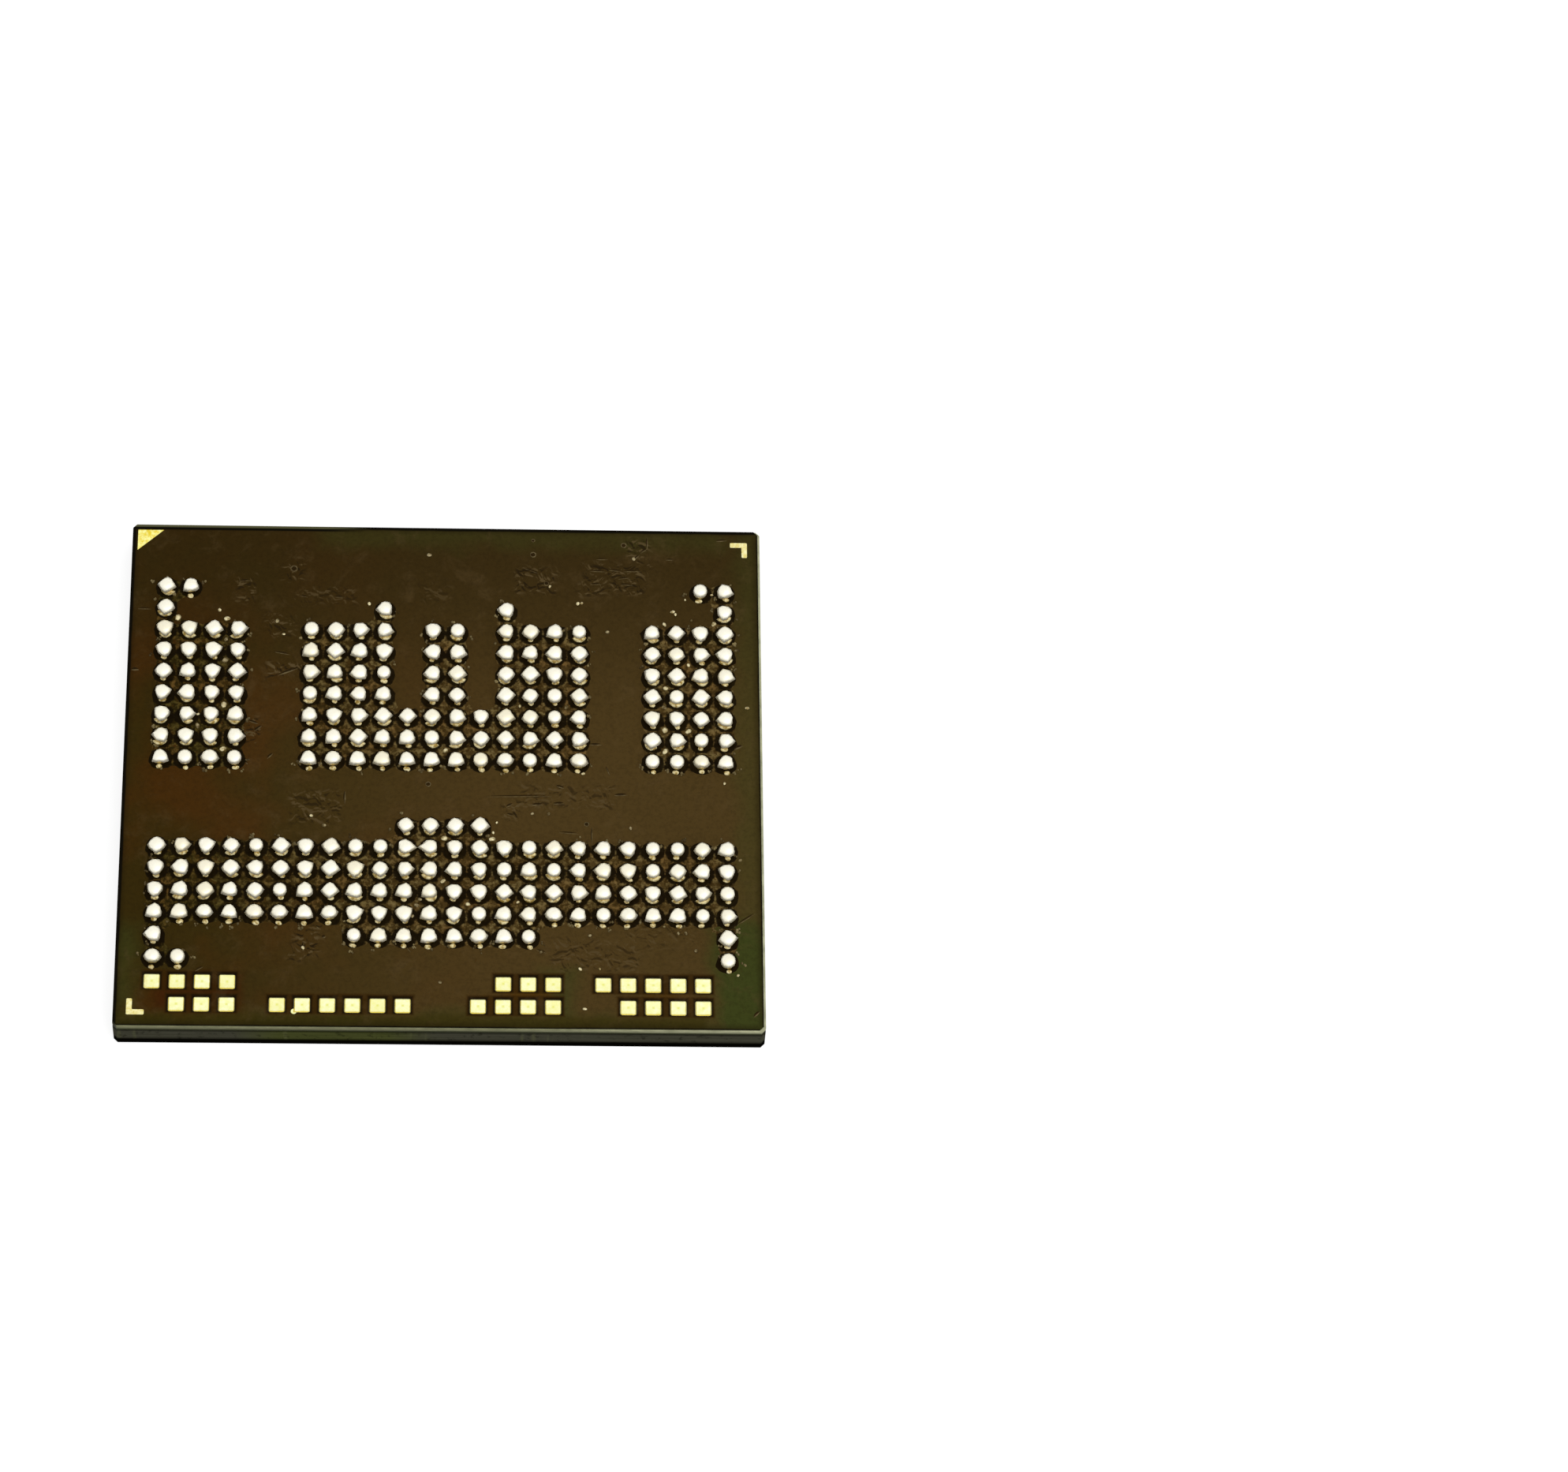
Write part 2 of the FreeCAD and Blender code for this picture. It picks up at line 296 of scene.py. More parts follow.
# Moulded face: slate grey filler grains in black resin, dull as the release film leaves it
epoxy, epoxy_shader, place = start_material("moulded black epoxy", Specular_IOR_Level=0.08)
# Filler grains bunched to 0.1 to 0.15 mm, as the eye sees them
grain = add_node(
    epoxy,
    "ShaderNodeTexNoise",
    {},
    {"Vector": place, "Scale": 9 / mm, "Detail": 3.0, "Roughness": 0.6, "Distortion": 0.6},
)
grain_tone = add_node(
    epoxy, "ShaderNodeMapRange", soft_step, {"Value": grain, "From Min": 0.42, "From Max": 0.7}
)
face_colour = add_node(
    epoxy, "ShaderNodeMix", two_colours, {0: grain_tone, 6: linear("#1f2626"), 7: linear("#56605f")}
).node.outputs[2]
feed(epoxy, epoxy_shader, "Base Color", face_colour)
epoxy_gloss = add_node(epoxy, "ShaderNodeMapRange", {}, {"Value": grain, "To Min": 0.42, "To Max": 0.68})
feed(epoxy, epoxy_shader, "Roughness", epoxy_gloss)
epoxy_bump = add_node(epoxy, "ShaderNodeBump", {}, {"Strength": 0.7, "Distance": 0.02 * mm, "Height": grain})
feed(epoxy, epoxy_shader, "Normal", epoxy_bump)

# Sawn epoxy: dull grey and olive, with the lines of the saw, pits where grains broke out and a foot painted
# black as shade
sawn_epoxy, side_shader, place = start_material("sawn black epoxy", Roughness=0.9, Specular_IOR_Level=0.0)
axes = add_node(sawn_epoxy, "ShaderNodeSeparateXYZ", {}, {"Vector": place}).node.outputs
# The saw smears the grains into lines along the edge, about 0.03 mm apart
saw_lines = add_node(
    sawn_epoxy, "ShaderNodeMapping", {}, {"Vector": place, "Scale": (0.8 / mm, 0.8 / mm, 26 / mm)}
)
saw_noise = add_node(sawn_epoxy, "ShaderNodeTexNoise", {}, {"Vector": saw_lines, "Scale": 1.0, "Detail": 3.0})
# Resin dust has settled in an olive drift, about 4 mm long with uneven ends
drift_middle = -2.0 * mm
drift_noise = add_node(
    sawn_epoxy, "ShaderNodeTexNoise", {}, {"Vector": place, "Scale": 0.6 / mm, "Detail": 2.0}
)
from_drift = add_node(
    sawn_epoxy, "ShaderNodeMath", {"operation": "SUBTRACT"}, {0: axes["X"], 1: drift_middle}
)
drift_distance = add_node(sawn_epoxy, "ShaderNodeMath", {"operation": "ABSOLUTE"}, {0: from_drift})
drift_reach = add_node(
    sawn_epoxy,
    "ShaderNodeMath",
    {"operation": "MULTIPLY_ADD"},
    {0: drift_noise, 1: 2.0 * mm, 2: drift_distance},
)
dusty = add_node(
    sawn_epoxy,
    "ShaderNodeMapRange",
    {},
    {"Value": drift_reach, "From Min": 3.4 * mm, "From Max": 2.0 * mm, "To Max": 0.9},
)
side_tones = []
for dark, pale in (("#3c3b2f", "#595849"), ("#3d411b", "#5e6333")):
    side_tones.append(
        add_node(
            sawn_epoxy, "ShaderNodeMix", two_colours, {0: saw_noise, 6: linear(dark), 7: linear(pale)}
        ).node.outputs[2]
    )
grey_side, olive_side = side_tones
side_colour = add_node(
    sawn_epoxy, "ShaderNodeMix", two_colours, {0: dusty, 6: grey_side, 7: olive_side}
).node.outputs[2]
# Upright streaks where the blade was lifted, about 0.15 mm wide, and pits of about 0.1 mm
streak_place = add_node(
    sawn_epoxy, "ShaderNodeMapping", {}, {"Vector": place, "Scale": (5 / mm, 5 / mm, 0.3 / mm)}
)
streak_noise = add_node(
    sawn_epoxy, "ShaderNodeTexNoise", {}, {"Vector": streak_place, "Scale": 1.0, "Detail": 2.0}
)
streaked = add_node(
    sawn_epoxy,
    "ShaderNodeMapRange",
    soft_step,
    {"Value": streak_noise, "From Min": 0.6, "From Max": 0.75, "To Max": 0.4},
)
pits = add_node(
    sawn_epoxy, "ShaderNodeTexNoise", {}, {"Vector": place, "Scale": 7 / mm, "Detail": 4.0, "Roughness": 0.65}
)
pitted = add_node(
    sawn_epoxy,
    "ShaderNodeMapRange",
    soft_step,
    {"Value": pits, "From Min": 0.46, "From Max": 0.32, "To Max": 0.5},
)
# The foot is painted near black as the shade where the side stands on the floor, and the band right under the
# laminate is darkened too
foot_line = add_node(
    sawn_epoxy,
    "ShaderNodeMapRange",
    soft_step,
    {"Value": axes["Z"], "From Min": 0.32 * mm, "From Max": 0.17 * mm},
)
groove_line = add_node(
    sawn_epoxy,
    "ShaderNodeMapRange",
    soft_step,
    {"Value": axes["Z"], "From Min": cap_high.z - 0.09 * mm, "From Max": cap_high.z, "To Max": 0.6},
)
shaded_foot_and_top_band = add_node(sawn_epoxy, "ShaderNodeMath", {"operation": "MAXIMUM"}, {0: foot_line, 1: groove_line})
for share, tone in ((streaked, "#7c7f52"), (pitted, "#1b1b10"), (shaded_foot_and_top_band, "#070602")):
    side_colour = add_node(
        sawn_epoxy, "ShaderNodeMix", two_colours, {0: share, 6: side_colour, 7: linear(tone)}
    ).node.outputs[2]
feed(sawn_epoxy, side_shader, "Base Color", side_colour)
side_bump = add_node(
    sawn_epoxy, "ShaderNodeBump", {}, {"Strength": 0.7, "Distance": 0.02 * mm, "Height": saw_noise}
)
feed(sawn_epoxy, side_shader, "Normal", side_bump)

mould = cad_copy("mould_cap", "mould_copy")
edit(mould)
pick(mould, "edges", lambda e: all(v.co.z < cap_low.z + hair for v in e.verts))
bpy.ops.mesh.bevel(offset=cap_edge, segments=3)
close(mould)
apply(mould, "BEVEL", width=sawn_corner, segments=2, limit_method="ANGLE", angle_limit=math.radians(35))
finish(mould, "sawn_mould_cap", "moulding_compound", epoxy, "mould_cap")
mould.data.materials.append(sawn_epoxy)
for face in mould.data.polygons:
    is_sawn = face.center.z > moulded_height and face.normal.z > -0.3
    face.material_index = 1 if is_sawn else 0


# Test pads: copper lands etched on the ball side, plated with nickel and soft matt gold.
# Each is a rounded square let into the lacquer, and one has a spur that the etching left.
pad_side = 0.31 * mm
pad_corner = 0.035 * mm
pitch = 0.5 * mm
spur_site = (-2.75 * mm, -5.25 * mm)
spur_offset = (-0.160 * mm, -0.138 * mm)
spur_radius = 0.058 * mm
flat_rim = 0.008 * mm
step_width = 0.018 * mm
step_depth = 0.002 * mm
rim_fall = 0.005 * mm
land_smooth = math.radians(35)


def grid_cell(x, y):
    """Column and row of the grid site at a place."""
    return round(x / pitch - 0.5), round(y / pitch - 0.5)


def sites_of(node):
    """Centres of the grid sites that a CAD node stands on."""
    found = {grid_cell(vertex.co.x, vertex.co.y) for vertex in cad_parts[node].data.vertices}
    return [((column + 0.5) * pitch, (row + 0.5) * pitch) for column, row in sorted(found)]


def spread(choose, places):
    """Copies joined into one piece: choose gives the piece, its turn and its size for each place."""
    copies = []
    for spot in places:
        source, turn, size = choose(spot)
        copy = source.copy()
        copy.data = source.data.copy()
        copy.location = (spot[0], spot[1], 0)
        copy.rotation_euler = (0, 0, turn)
        copy.scale = size
        bpy.context.scene.collection.objects.link(copy)
        copies.append(copy)
    only(copies[0])
    for copy in copies:
        copy.select_set(True)
    bpy.ops.object.join()
    return copies[0]


def discard(*pieces):
    """Patterns that have done their work are taken away."""
    for piece in pieces:
        bpy.data.objects.remove(piece)


def tone_of_site(material, place):
    """The place in steps of the grid, and a random value of its own for each site."""
    steps = add_node(material, "ShaderNodeVectorMath", {"operation": "SCALE"}, {0: place, "Scale": 1 / pitch})
    whole = add_node(material, "ShaderNodeVectorMath", {"operation": "FLOOR"}, {0: steps})
    tone = add_node(material, "ShaderNodeTexWhiteNoise", {"noise_dimensions": "2D"}, {"Vector": whole})
    return steps, tone


def off_site(material, steps, middle):
    """How far a point lies from the middle of its site, sideways or lengthwise, in steps of the grid."""
    within = add_node(material, "ShaderNodeVectorMath", {"operation": "FRACTION"}, {0: steps})
    offset = add_node(material, "ShaderNodeVectorMath", {"operation": "SUBTRACT"}, {0: within, 1: middle})
    apart = add_node(material, "ShaderNodeVectorMath", {"operation": "ABSOLUTE"}, {0: offset})
    sides = add_node(material, "ShaderNodeSeparateXYZ", {}, {"Vector": apart}).node.outputs
    return add_node(material, "ShaderNodeMath", {"operation": "MAXIMUM"}, {0: sides["X"], 1: sides["Y"]})


# Soft gold plating: pale lemon and satin, with a golden rim that is painted shade and a greener yellow middle
gold, gold_shader, place = start_material("electrolytic soft gold", Metallic=1.0, Roughness=0.42)
# Plating grain, about 0.05 mm
plating = add_node(
    gold, "ShaderNodeTexNoise", {}, {"Vector": place, "Scale": 9 / mm, "Detail": 5.0, "Roughness": 0.7}
)
plating_tone = add_node(
    gold, "ShaderNodeMapRange", {}, {"Value": plating, "From Min": 0.35, "From Max": 0.65}
)
lemon = add_node(
    gold, "ShaderNodeMix", two_colours, {0: plating_tone, 6: linear("#fbfbd0"), 7: linear("#f4f5a8")}
).node.outputs[2]
# Each land has its own thickness of gold, and with it its own tone
steps, land_tone = tone_of_site(gold, place)
deeper = add_node(gold, "ShaderNodeMapRange", {}, {"Value": land_tone, "From Min": 0.5, "To Max": 0.25})
# The middle of the pattern lies a little off the middle of the site
furthest_off = off_site(gold, steps, (0.503, 0.515, 0))
uneven_off = add_node(
    gold, "ShaderNodeMath", {"operation": "MULTIPLY_ADD"}, {0: plating, 1: 0.05, 2: furthest_off}
)
# The golden rim is painted shade where the land falls away at its edge
at_rim = add_node(
    gold,
    "ShaderNodeMapRange",
    soft_step,
    {"Value": uneven_off, "From Min": 0.285, "From Max": 0.325, "To Max": 0.9},
)
on_the_spur = add_node(
    gold, "ShaderNodeMapRange", {}, {"Value": furthest_off, "From Min": 0.35, "From Max": 0.34}
)
shaded_rim = add_node(gold, "ShaderNodeMath", {"operation": "MULTIPLY"}, {0: at_rim, 1: on_the_spur})
at_middle = add_node(
    gold,
    "ShaderNodeMapRange",
    soft_step,
    {"Value": uneven_off, "From Min": 0.11, "From Max": 0.03, "To Max": 0.75},
)
land_colour = lemon
for share, tone in ((deeper, "#ece27c"), (shaded_rim, "#cdb53c"), (at_middle, "#e3e26a")):
    land_colour = add_node(
        gold, "ShaderNodeMix", two_colours, {0: share, 6: land_colour, 7: linear(tone)}
    ).node.outputs[2]
# The marks are plated thicker and grainier: deep yellow at ball A1, cream at the other corners
mark_grain = add_node(gold, "ShaderNodeMapRange", {}, {"Value": plating, "From Min": 0.4, "From Max": 0.6})
mark_tones = []
for pale, deep in (("#f6f0b8", "#e2d27e"), ("#fdf9a4", "#e9d03c")):
    mark_tones.append(
        add_node(
            gold, "ShaderNodeMix", two_colours, {0: mark_grain, 6: linear(pale), 7: linear(deep)}
        ).node.outputs[2]
    )
angle_colour, triangle_colour = mark_tones
gold_axes = add_node(gold, "ShaderNodeSeparateXYZ", {}, {"Vector": place}).node.outputs
at_the_left = add_node(
    gold, "ShaderNodeMapRange", {}, {"Value": gold_axes["X"], "From Min": 1 * mm, "From Max": -1 * mm}
)
mark_colour = add_node(
    gold, "ShaderNodeMix", two_colours, {0: at_the_left, 6: angle_colour, 7: triangle_colour}
).node.outputs[2]
at_the_back = add_node(
    gold, "ShaderNodeMapRange", {}, {"Value": gold_axes["Y"], "From Min": -3 * mm, "From Max": 3 * mm}
)
plain_or_mark = add_node(
    gold, "ShaderNodeMix", two_colours, {0: at_the_back, 6: land_colour, 7: mark_colour}
).node.outputs[2]
at_lower_angle = add_node(
    gold, "ShaderNodeMapRange", {}, {"Value": gold_axes["X"], "From Min": -5.8 * mm, "From Max": -5.95 * mm}
)
lower_angle = add_node(
    gold,
    "ShaderNodeMath",
    {"operation": "SUBTRACT", "use_clamp": True},
    {0: at_lower_angle, 1: at_the_back},
)
gold_colour = add_node(
    gold, "ShaderNodeMix", two_colours, {0: lower_angle, 6: plain_or_mark, 7: angle_colour}
).node.outputs[2]
feed(gold, gold_shader, "Base Color", gold_colour)
plating_bump = add_node(
    gold, "ShaderNodeBump", {}, {"Strength": 0.3, "Distance": 0.004 * mm, "Height": plating}
)
feed(gold, gold_shader, "Normal", plating_bump)

gold_low, gold_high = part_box("test_pads_row")
gold_thickness = gold_high.z - gold_low.z
gold_middle = (gold_low.z + gold_high.z) / 2


def rounded_block(side, depth, height, corner):
    """Square block centred at a height, with its four upright edges rounded."""
    bpy.ops.object.select_all(action="DESELECT")
    bpy.ops.mesh.primitive_cube_add(size=1, location=(0, 0, height))
    piece = bpy.context.object
    piece.scale = (side, side, depth)
    bpy.ops.object.transform_apply(location=True, rotation=True, scale=True)
    edit(piece)
    pick(piece, "edges", lambda e: abs(e.verts[0].co.z - e.verts[1].co.z) > depth / 2)
    bpy.ops.mesh.bevel(offset=corner, segments=3)
    close(piece)
    return piece


# The gold is domed: a flat middle, a shallow step and a rim that falls away
land = rounded_block(pad_side, gold_thickness, gold_middle, pad_corner)
edit(land)
pick(land, "faces", lambda f: f.normal.z > 0.9)
bpy.ops.mesh.inset(thickness=flat_rim)
bpy.ops.mesh.inset(thickness=step_width, depth=-step_depth)
outermost = pad_side / 2 - 0.0005 * mm
pick(land, "verts", lambda v: v.co.z > gold_middle and max(abs(v.co.x), abs(v.co.y)) > outermost)
bpy.ops.transform.translate(value=(0, 0, -rim_fall))
close(land)


def with_spur(plain, knob_radius):
    """Copy of a rounded square block, grown together with a round knob at its lower left corner."""
    spurred = plain.copy()
    spurred.data = plain.data.copy()
    bpy.context.scene.collection.objects.link(spurred)
    heights = [vertex.co.z for vertex in plain.data.vertices]
    bpy.ops.object.select_all(action="DESELECT")
    bpy.ops.mesh.primitive_cylinder_add(
        vertices=14,
        radius=knob_radius,
        depth=(max(heights) - min(heights)) * 0.97,
        location=(*spur_offset, (max(heights) + min(heights)) / 2),
    )
    knob = bpy.context.object
    apply(spurred, "BOOLEAN", operation="UNION", solver="EXACT", object=knob)
    discard(knob)
    return spurred


def spurred_at_its_site(plain, spurred):
    """Choice for spread: the spurred block at the site of the spur and the plain one elsewhere."""
    return lambda spot: (spurred if math.dist(spot, spur_site) < hair else plain, 0, (1, 1, 1))


spurred_land = with_spur(land, spur_radius)
land_nodes = ("test_pads_left", "test_pads_row", "test_pads_middle", "test_pads_right")
for node in land_nodes:
    lands = spread(spurred_at_its_site(land, spurred_land), sites_of(node))
    only(lands)
    bpy.ops.object.shade_smooth_by_angle(angle=land_smooth)
    finish(lands, node.replace("test_pads", "gold_lands"), "gold_plate", gold, node)


# Orientation marks: a filled triangle at ball A1 and an angle in two other corners.
# They are etched and plated with the lands, and tell a placement machine how the package lies.
triangle_corner = 0.012 * mm
angle_corner = 0.032 * mm
mark_nodes = ("pin_one_triangle", "corner_mark_upper_right", "corner_mark_lower_left")
for node in mark_nodes:
    mark = cad_copy(node, node + "_copy")
    edit(mark)
    pick(mark, "edges", lambda e: abs(e.verts[0].co.z - e.verts[1].co.z) > gold_thickness / 2)
    bpy.ops.mesh.bevel(offset=triangle_corner if node == mark_nodes[0] else angle_corner, segments=3)
    close(mark)
    apply(mark, "BEVEL", width=0.004 * mm, segments=2, limit_method="ANGLE")
    finish(mark, "gold_" + node, "gold_plate", gold, node)


# Solder mask: green photo-imaged lacquer over the copper, which makes it brown where copper lies below.
# It is open at every gold land, and stops just short of the sawn edge at the right and at the front.
mask_low, mask_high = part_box("solder_mask")
mask_thickness = mask_high.z - mask_low.z
land_gap = 0.012 * mm
back_off = 0.004 * mm
front_rim = 0.03 * mm
right_rim = 0.045 * mm
skin_edge = 0.004 * mm

# Lacquer over copper: dark brown, half gloss, olive green where there is no copper, amber by the lands
lacquer, lacquer_shader, place = start_material("solder mask lacquer", Specular_IOR_Level=0.02)
ragged = add_node(lacquer, "ShaderNodeTexNoise", {}, {"Vector": place, "Scale": 1.6 / mm, "Detail": 3.0})
axes = add_node(lacquer, "ShaderNodeSeparateXYZ", {}, {"Vector": place}).node.outputs
# Drifts of reddish copper, a few millimetres long, show in the thinner lacquer at the left
drift = add_node(lacquer, "ShaderNodeTexNoise", {}, {"Vector": place, "Scale": 0.5 / mm, "Detail": 3.0})
reddish = add_node(
    lacquer, "ShaderNodeMapRange", {}, {"Value": drift, "From Min": 0.42, "From Max": 0.62, "To Max": 0.7}
)
left_brown = add_node(
    lacquer, "ShaderNodeMix", two_colours, {0: reddish, 6: linear("#372a09"), 7: linear("#4a2a08")}
).node.outputs[2]
# Lighter towards the right: painted sheen over the brown
to_the_right = add_node(
    lacquer,
    "ShaderNodeMapRange",
    soft_step,
    {"Value": axes["X"], "From Min": -6.6 * mm, "From Max": 2.5 * mm},
)
copper_brown_and_sheen = add_node(
    lacquer, "ShaderNodeMix", two_colours, {0: to_the_right, 6: left_brown, 7: linear("#4f3d1d")}
).node.outputs[2]
to_the_back = add_node(
    lacquer,
    "ShaderNodeMapRange",
    soft_step,
    {"Value": axes["Y"], "From Min": 0.5 * mm, "From Max": 5.5 * mm, "To Max": 0.75},
)
brown = add_node(
    lacquer, "ShaderNodeMix", two_colours, {0: to_the_back, 6: copper_brown_and_sheen, 7: linear("#31240a")}
).node.outputs[2]


def windows(material, point, unevenness, boxes, blur, wobble):
    """How far inside any of some boxes a point lies, from 0 outside to 1 inside, with a ragged edge.

    Each box is given by its middle and half its sides in millimetres, and by how much it counts.
    """
    total = None
    for middle_x, middle_y, half_x, half_y, amount in boxes:
        offset = add_node(
            material,
            "ShaderNodeVectorMath",
            {"operation": "SUBTRACT"},
            {0: point, 1: (middle_x * mm, middle_y * mm, 0)},
        )
        apart = add_node(material, "ShaderNodeVectorMath", {"operation": "ABSOLUTE"}, {0: offset})
        beyond = add_node(
            material,
            "ShaderNodeVectorMath",
            {"operation": "SUBTRACT"},
            {0: apart, 1: (half_x * mm, half_y * mm, 0)},
        )
        sides = add_node(material, "ShaderNodeSeparateXYZ", {}, {"Vector": beyond}).node.outputs
        furthest = add_node(material, "ShaderNodeMath", {"operation": "MAXIMUM"}, {0: sides[0], 1: sides[1]})
        uneven = add_node(
            material,
            "ShaderNodeMath",
            {"operation": "MULTIPLY_ADD"},
            {0: unevenness, 1: wobble * mm, 2: furthest},
        )
        inside = add_node(
            material,
            "ShaderNodeMapRange",
            soft_step,
            {
                "Value": uneven,
                "From Min": (wobble / 2 + blur) * mm,
                "From Max": (wobble / 2 - blur) * mm,
                "To Max": amount,
            },
        )
        if total is None:
            total = inside
        else:
            total = add_node(material, "ShaderNodeMath", {"operation": "MAXIMUM"}, {0: total, 1: inside})
    return total


# Where the copper stops: middle x, middle y, half length and half width of each gap, and its share of green
copper_free = [
    (6.30, 0.0, 0.34, 5.9, 0.35),
    (6.1, -4.6, 0.60, 1.30, 1.0),
    (1.6, 5.6, 4.2, 0.33, 0.35),
    (0.0, -5.68, 6.6, 0.24, 0.55),
    (-6.33, -4.4, 0.28, 0.95, 0.5),
    (2.35, -5.0, 0.35, 0.55, 0.6),
]
is_green = windows(lacquer, place, ragged, copper_free, 0.28, 0.6)
# The nickel bath stains the lacquer between the lands, reddish at the left and amber further on
red_stains = [(-4.85, -5.0, 0.85, 0.36, 0.85)]
amber_stains = [
    (1.75, -5.0, 0.45, 0.14, 0.9),
    (1.05, -5.2, 0.12, 0.14, 0.8),
    (4.55, -5.0, 0.45, 0.16, 0.7),
    (-2.0, -5.25, 1.3, 0.12, 0.4),
]
is_red = windows(lacquer, place, ragged, red_stains, 0.2, 0.3)
is_amber = windows(lacquer, place, ragged, amber_stains, 0.18, 0.3)
is_front_strip = windows(lacquer, place, ragged, [(-0.6, -5.66, 5.9, 0.2, 0.55)], 0.1, 0.2)
# Right at the gold the lacquer is thick and nearly black, a little wider on the far side of a land.
# The dark lies within 0.23 mm of the middle of a land, and is moved back by a hair
dark_reach = 0.23
dark_shift = 0.02
land_rows = []
for node in land_nodes:
    for row in sorted({y for x, y in sites_of(node)}):
        along = [x for x, y in sites_of(node) if y == row]
        middle = (min(along) + max(along)) / 2 / mm
        half_length = (max(along) - min(along)) / 2 / mm + dark_reach
        land_rows.append((middle, row / mm + dark_shift, half_length, dark_reach, 1.0))
is_land_row = windows(lacquer, place, ragged, land_rows, 0.03, 0.08)
raised_place = add_node(
    lacquer, "ShaderNodeVectorMath", {"operation": "SUBTRACT"}, {0: place, 1: (0, 0.015 * mm, 0)}
)
land_steps = add_node(
    lacquer, "ShaderNodeVectorMath", {"operation": "SCALE"}, {0: raised_place, "Scale": 1 / pitch}
)
by_the_land = off_site(lacquer, land_steps, (0.5, 0.5, 0))
close_to_gold = add_node(
    lacquer,
    "ShaderNodeMapRange",
    soft_step,
    {"Value": by_the_land, "From Min": 0.46, "From Max": 0.34, "To Max": 0.9},
)
halo = add_node(lacquer, "ShaderNodeMath", {"operation": "MULTIPLY"}, {0: is_land_row, 1: close_to_gold})
browned = add_node(lacquer, "ShaderNodeMath", {"operation": "MULTIPLY"}, {0: is_land_row, 1: 0.75})
# Blotches of handling and cleaning, about 0.5 mm across with finer grain in them, a little paler
blotch_noise = add_node(
    lacquer,
    "ShaderNodeTexNoise",
    {},
    {"Vector": place, "Scale": 1.9 / mm, "Detail": 6.0, "Roughness": 0.72, "Distortion": 0.4},
)
blotch = add_node(
    lacquer,
    "ShaderNodeMapRange",
    soft_step,
    {"Value": blotch_noise, "From Min": 0.5, "From Max": 0.74, "To Max": 0.3},
)
# Grit of the filler in the lacquer, about 0.07 mm as the eye bunches it
grit = add_node(
    lacquer, "ShaderNodeTexNoise", {}, {"Vector": place, "Scale": 12 / mm, "Detail": 4.0, "Roughness": 0.7}
)
gritty = add_node(
    lacquer, "ShaderNodeMapRange", {}, {"Value": grit, "From Min": 0.55, "From Max": 0.35, "To Max": 0.22}
)
# All of these lie over the brown, one on the other
lacquer_colour = brown
for share, tone in (
    (is_green, "#3d421a"),
    (is_red, "#411f05"),
    (is_amber, "#53370a"),
    (is_front_strip, "#332a02"),
    (browned, "#372204"),
    (halo, "#130a01"),
    (blotch, "#5d4a2c"),
    (gritty, "#1a1204"),
):
    lacquer_colour = add_node(
        lacquer, "ShaderNodeMix", two_colours, {0: share, 6: lacquer_colour, 7: linear(tone)}
    ).node.outputs[2]
# Grazes of the test socket: patches of torn lips and grooves, 0.1 to 0.2 mm across, paler on the near side as
# painted highlight and darker on the far side as painted shade
graze_patches = [
    (-3.16, 4.68, 0.25, 0.22, 0.9), (-4.16, 4.25, 0.20, 0.30, 0.8), (-3.36, 3.41, 0.30, 0.26, 0.8),
    (-3.24, 2.34, 0.40, 0.20, 1.0), (-3.96, 0.99, 0.24, 0.30, 0.9), (-2.50, 4.11, 0.65, 0.20, 0.6),
    (1.85, 4.52, 0.38, 0.28, 0.9), (3.45, 4.60, 0.60, 0.36, 0.9), (4.00, 5.20, 0.25, 0.35, 0.8),
    (-0.18, 4.16, 0.35, 0.20, 0.4), (-2.60, -0.85, 0.50, 0.35, 0.7), (-2.70, -3.85, 0.30, 0.35, 1.0),
    (1.36, -0.86, 0.20, 0.20, 0.9), (2.50, -0.55, 0.90, 0.25, 0.6), (4.39, -3.60, 0.70, 0.30, 0.5),
    (3.10, -4.08, 0.90, 0.35, 0.6),
]
is_grazed = windows(lacquer, place, ragged, graze_patches, 0.1, 0.5)
graze_settings = {"Scale": 4.5 / mm, "Detail": 2.0, "Distortion": 0.7}
graze = add_node(lacquer, "ShaderNodeTexNoise", {}, {"Vector": place, **graze_settings})
lip_place = add_node(lacquer, "ShaderNodeVectorMath", {}, {0: place, 1: (0.01 * mm, 0.035 * mm, 0)})
graze_beyond = add_node(lacquer, "ShaderNodeTexNoise", {}, {"Vector": lip_place, **graze_settings})
graze_slope = add_node(lacquer, "ShaderNodeMath", {"operation": "SUBTRACT"}, {0: graze, 1: graze_beyond})
# Lit and shaded flanks of the grazes: painted highlight and painted shade
for steep, tone in ((0.10, "#5a4a2e"), (-0.10, "#251b0b")):
    flank = add_node(
        lacquer,
        "ShaderNodeMapRange",
        soft_step,
        {"Value": graze_slope, "From Min": steep * 0.3, "From Max": steep},
    )
    lit_or_shaded_flank = add_node(lacquer, "ShaderNodeMath", {"operation": "MULTIPLY"}, {0: flank, 1: is_grazed})
    lacquer_colour = add_node(
        lacquer, "ShaderNodeMix", two_colours, {0: lit_or_shaded_flank, 6: lacquer_colour, 7: linear(tone)}
    ).node.outputs[2]
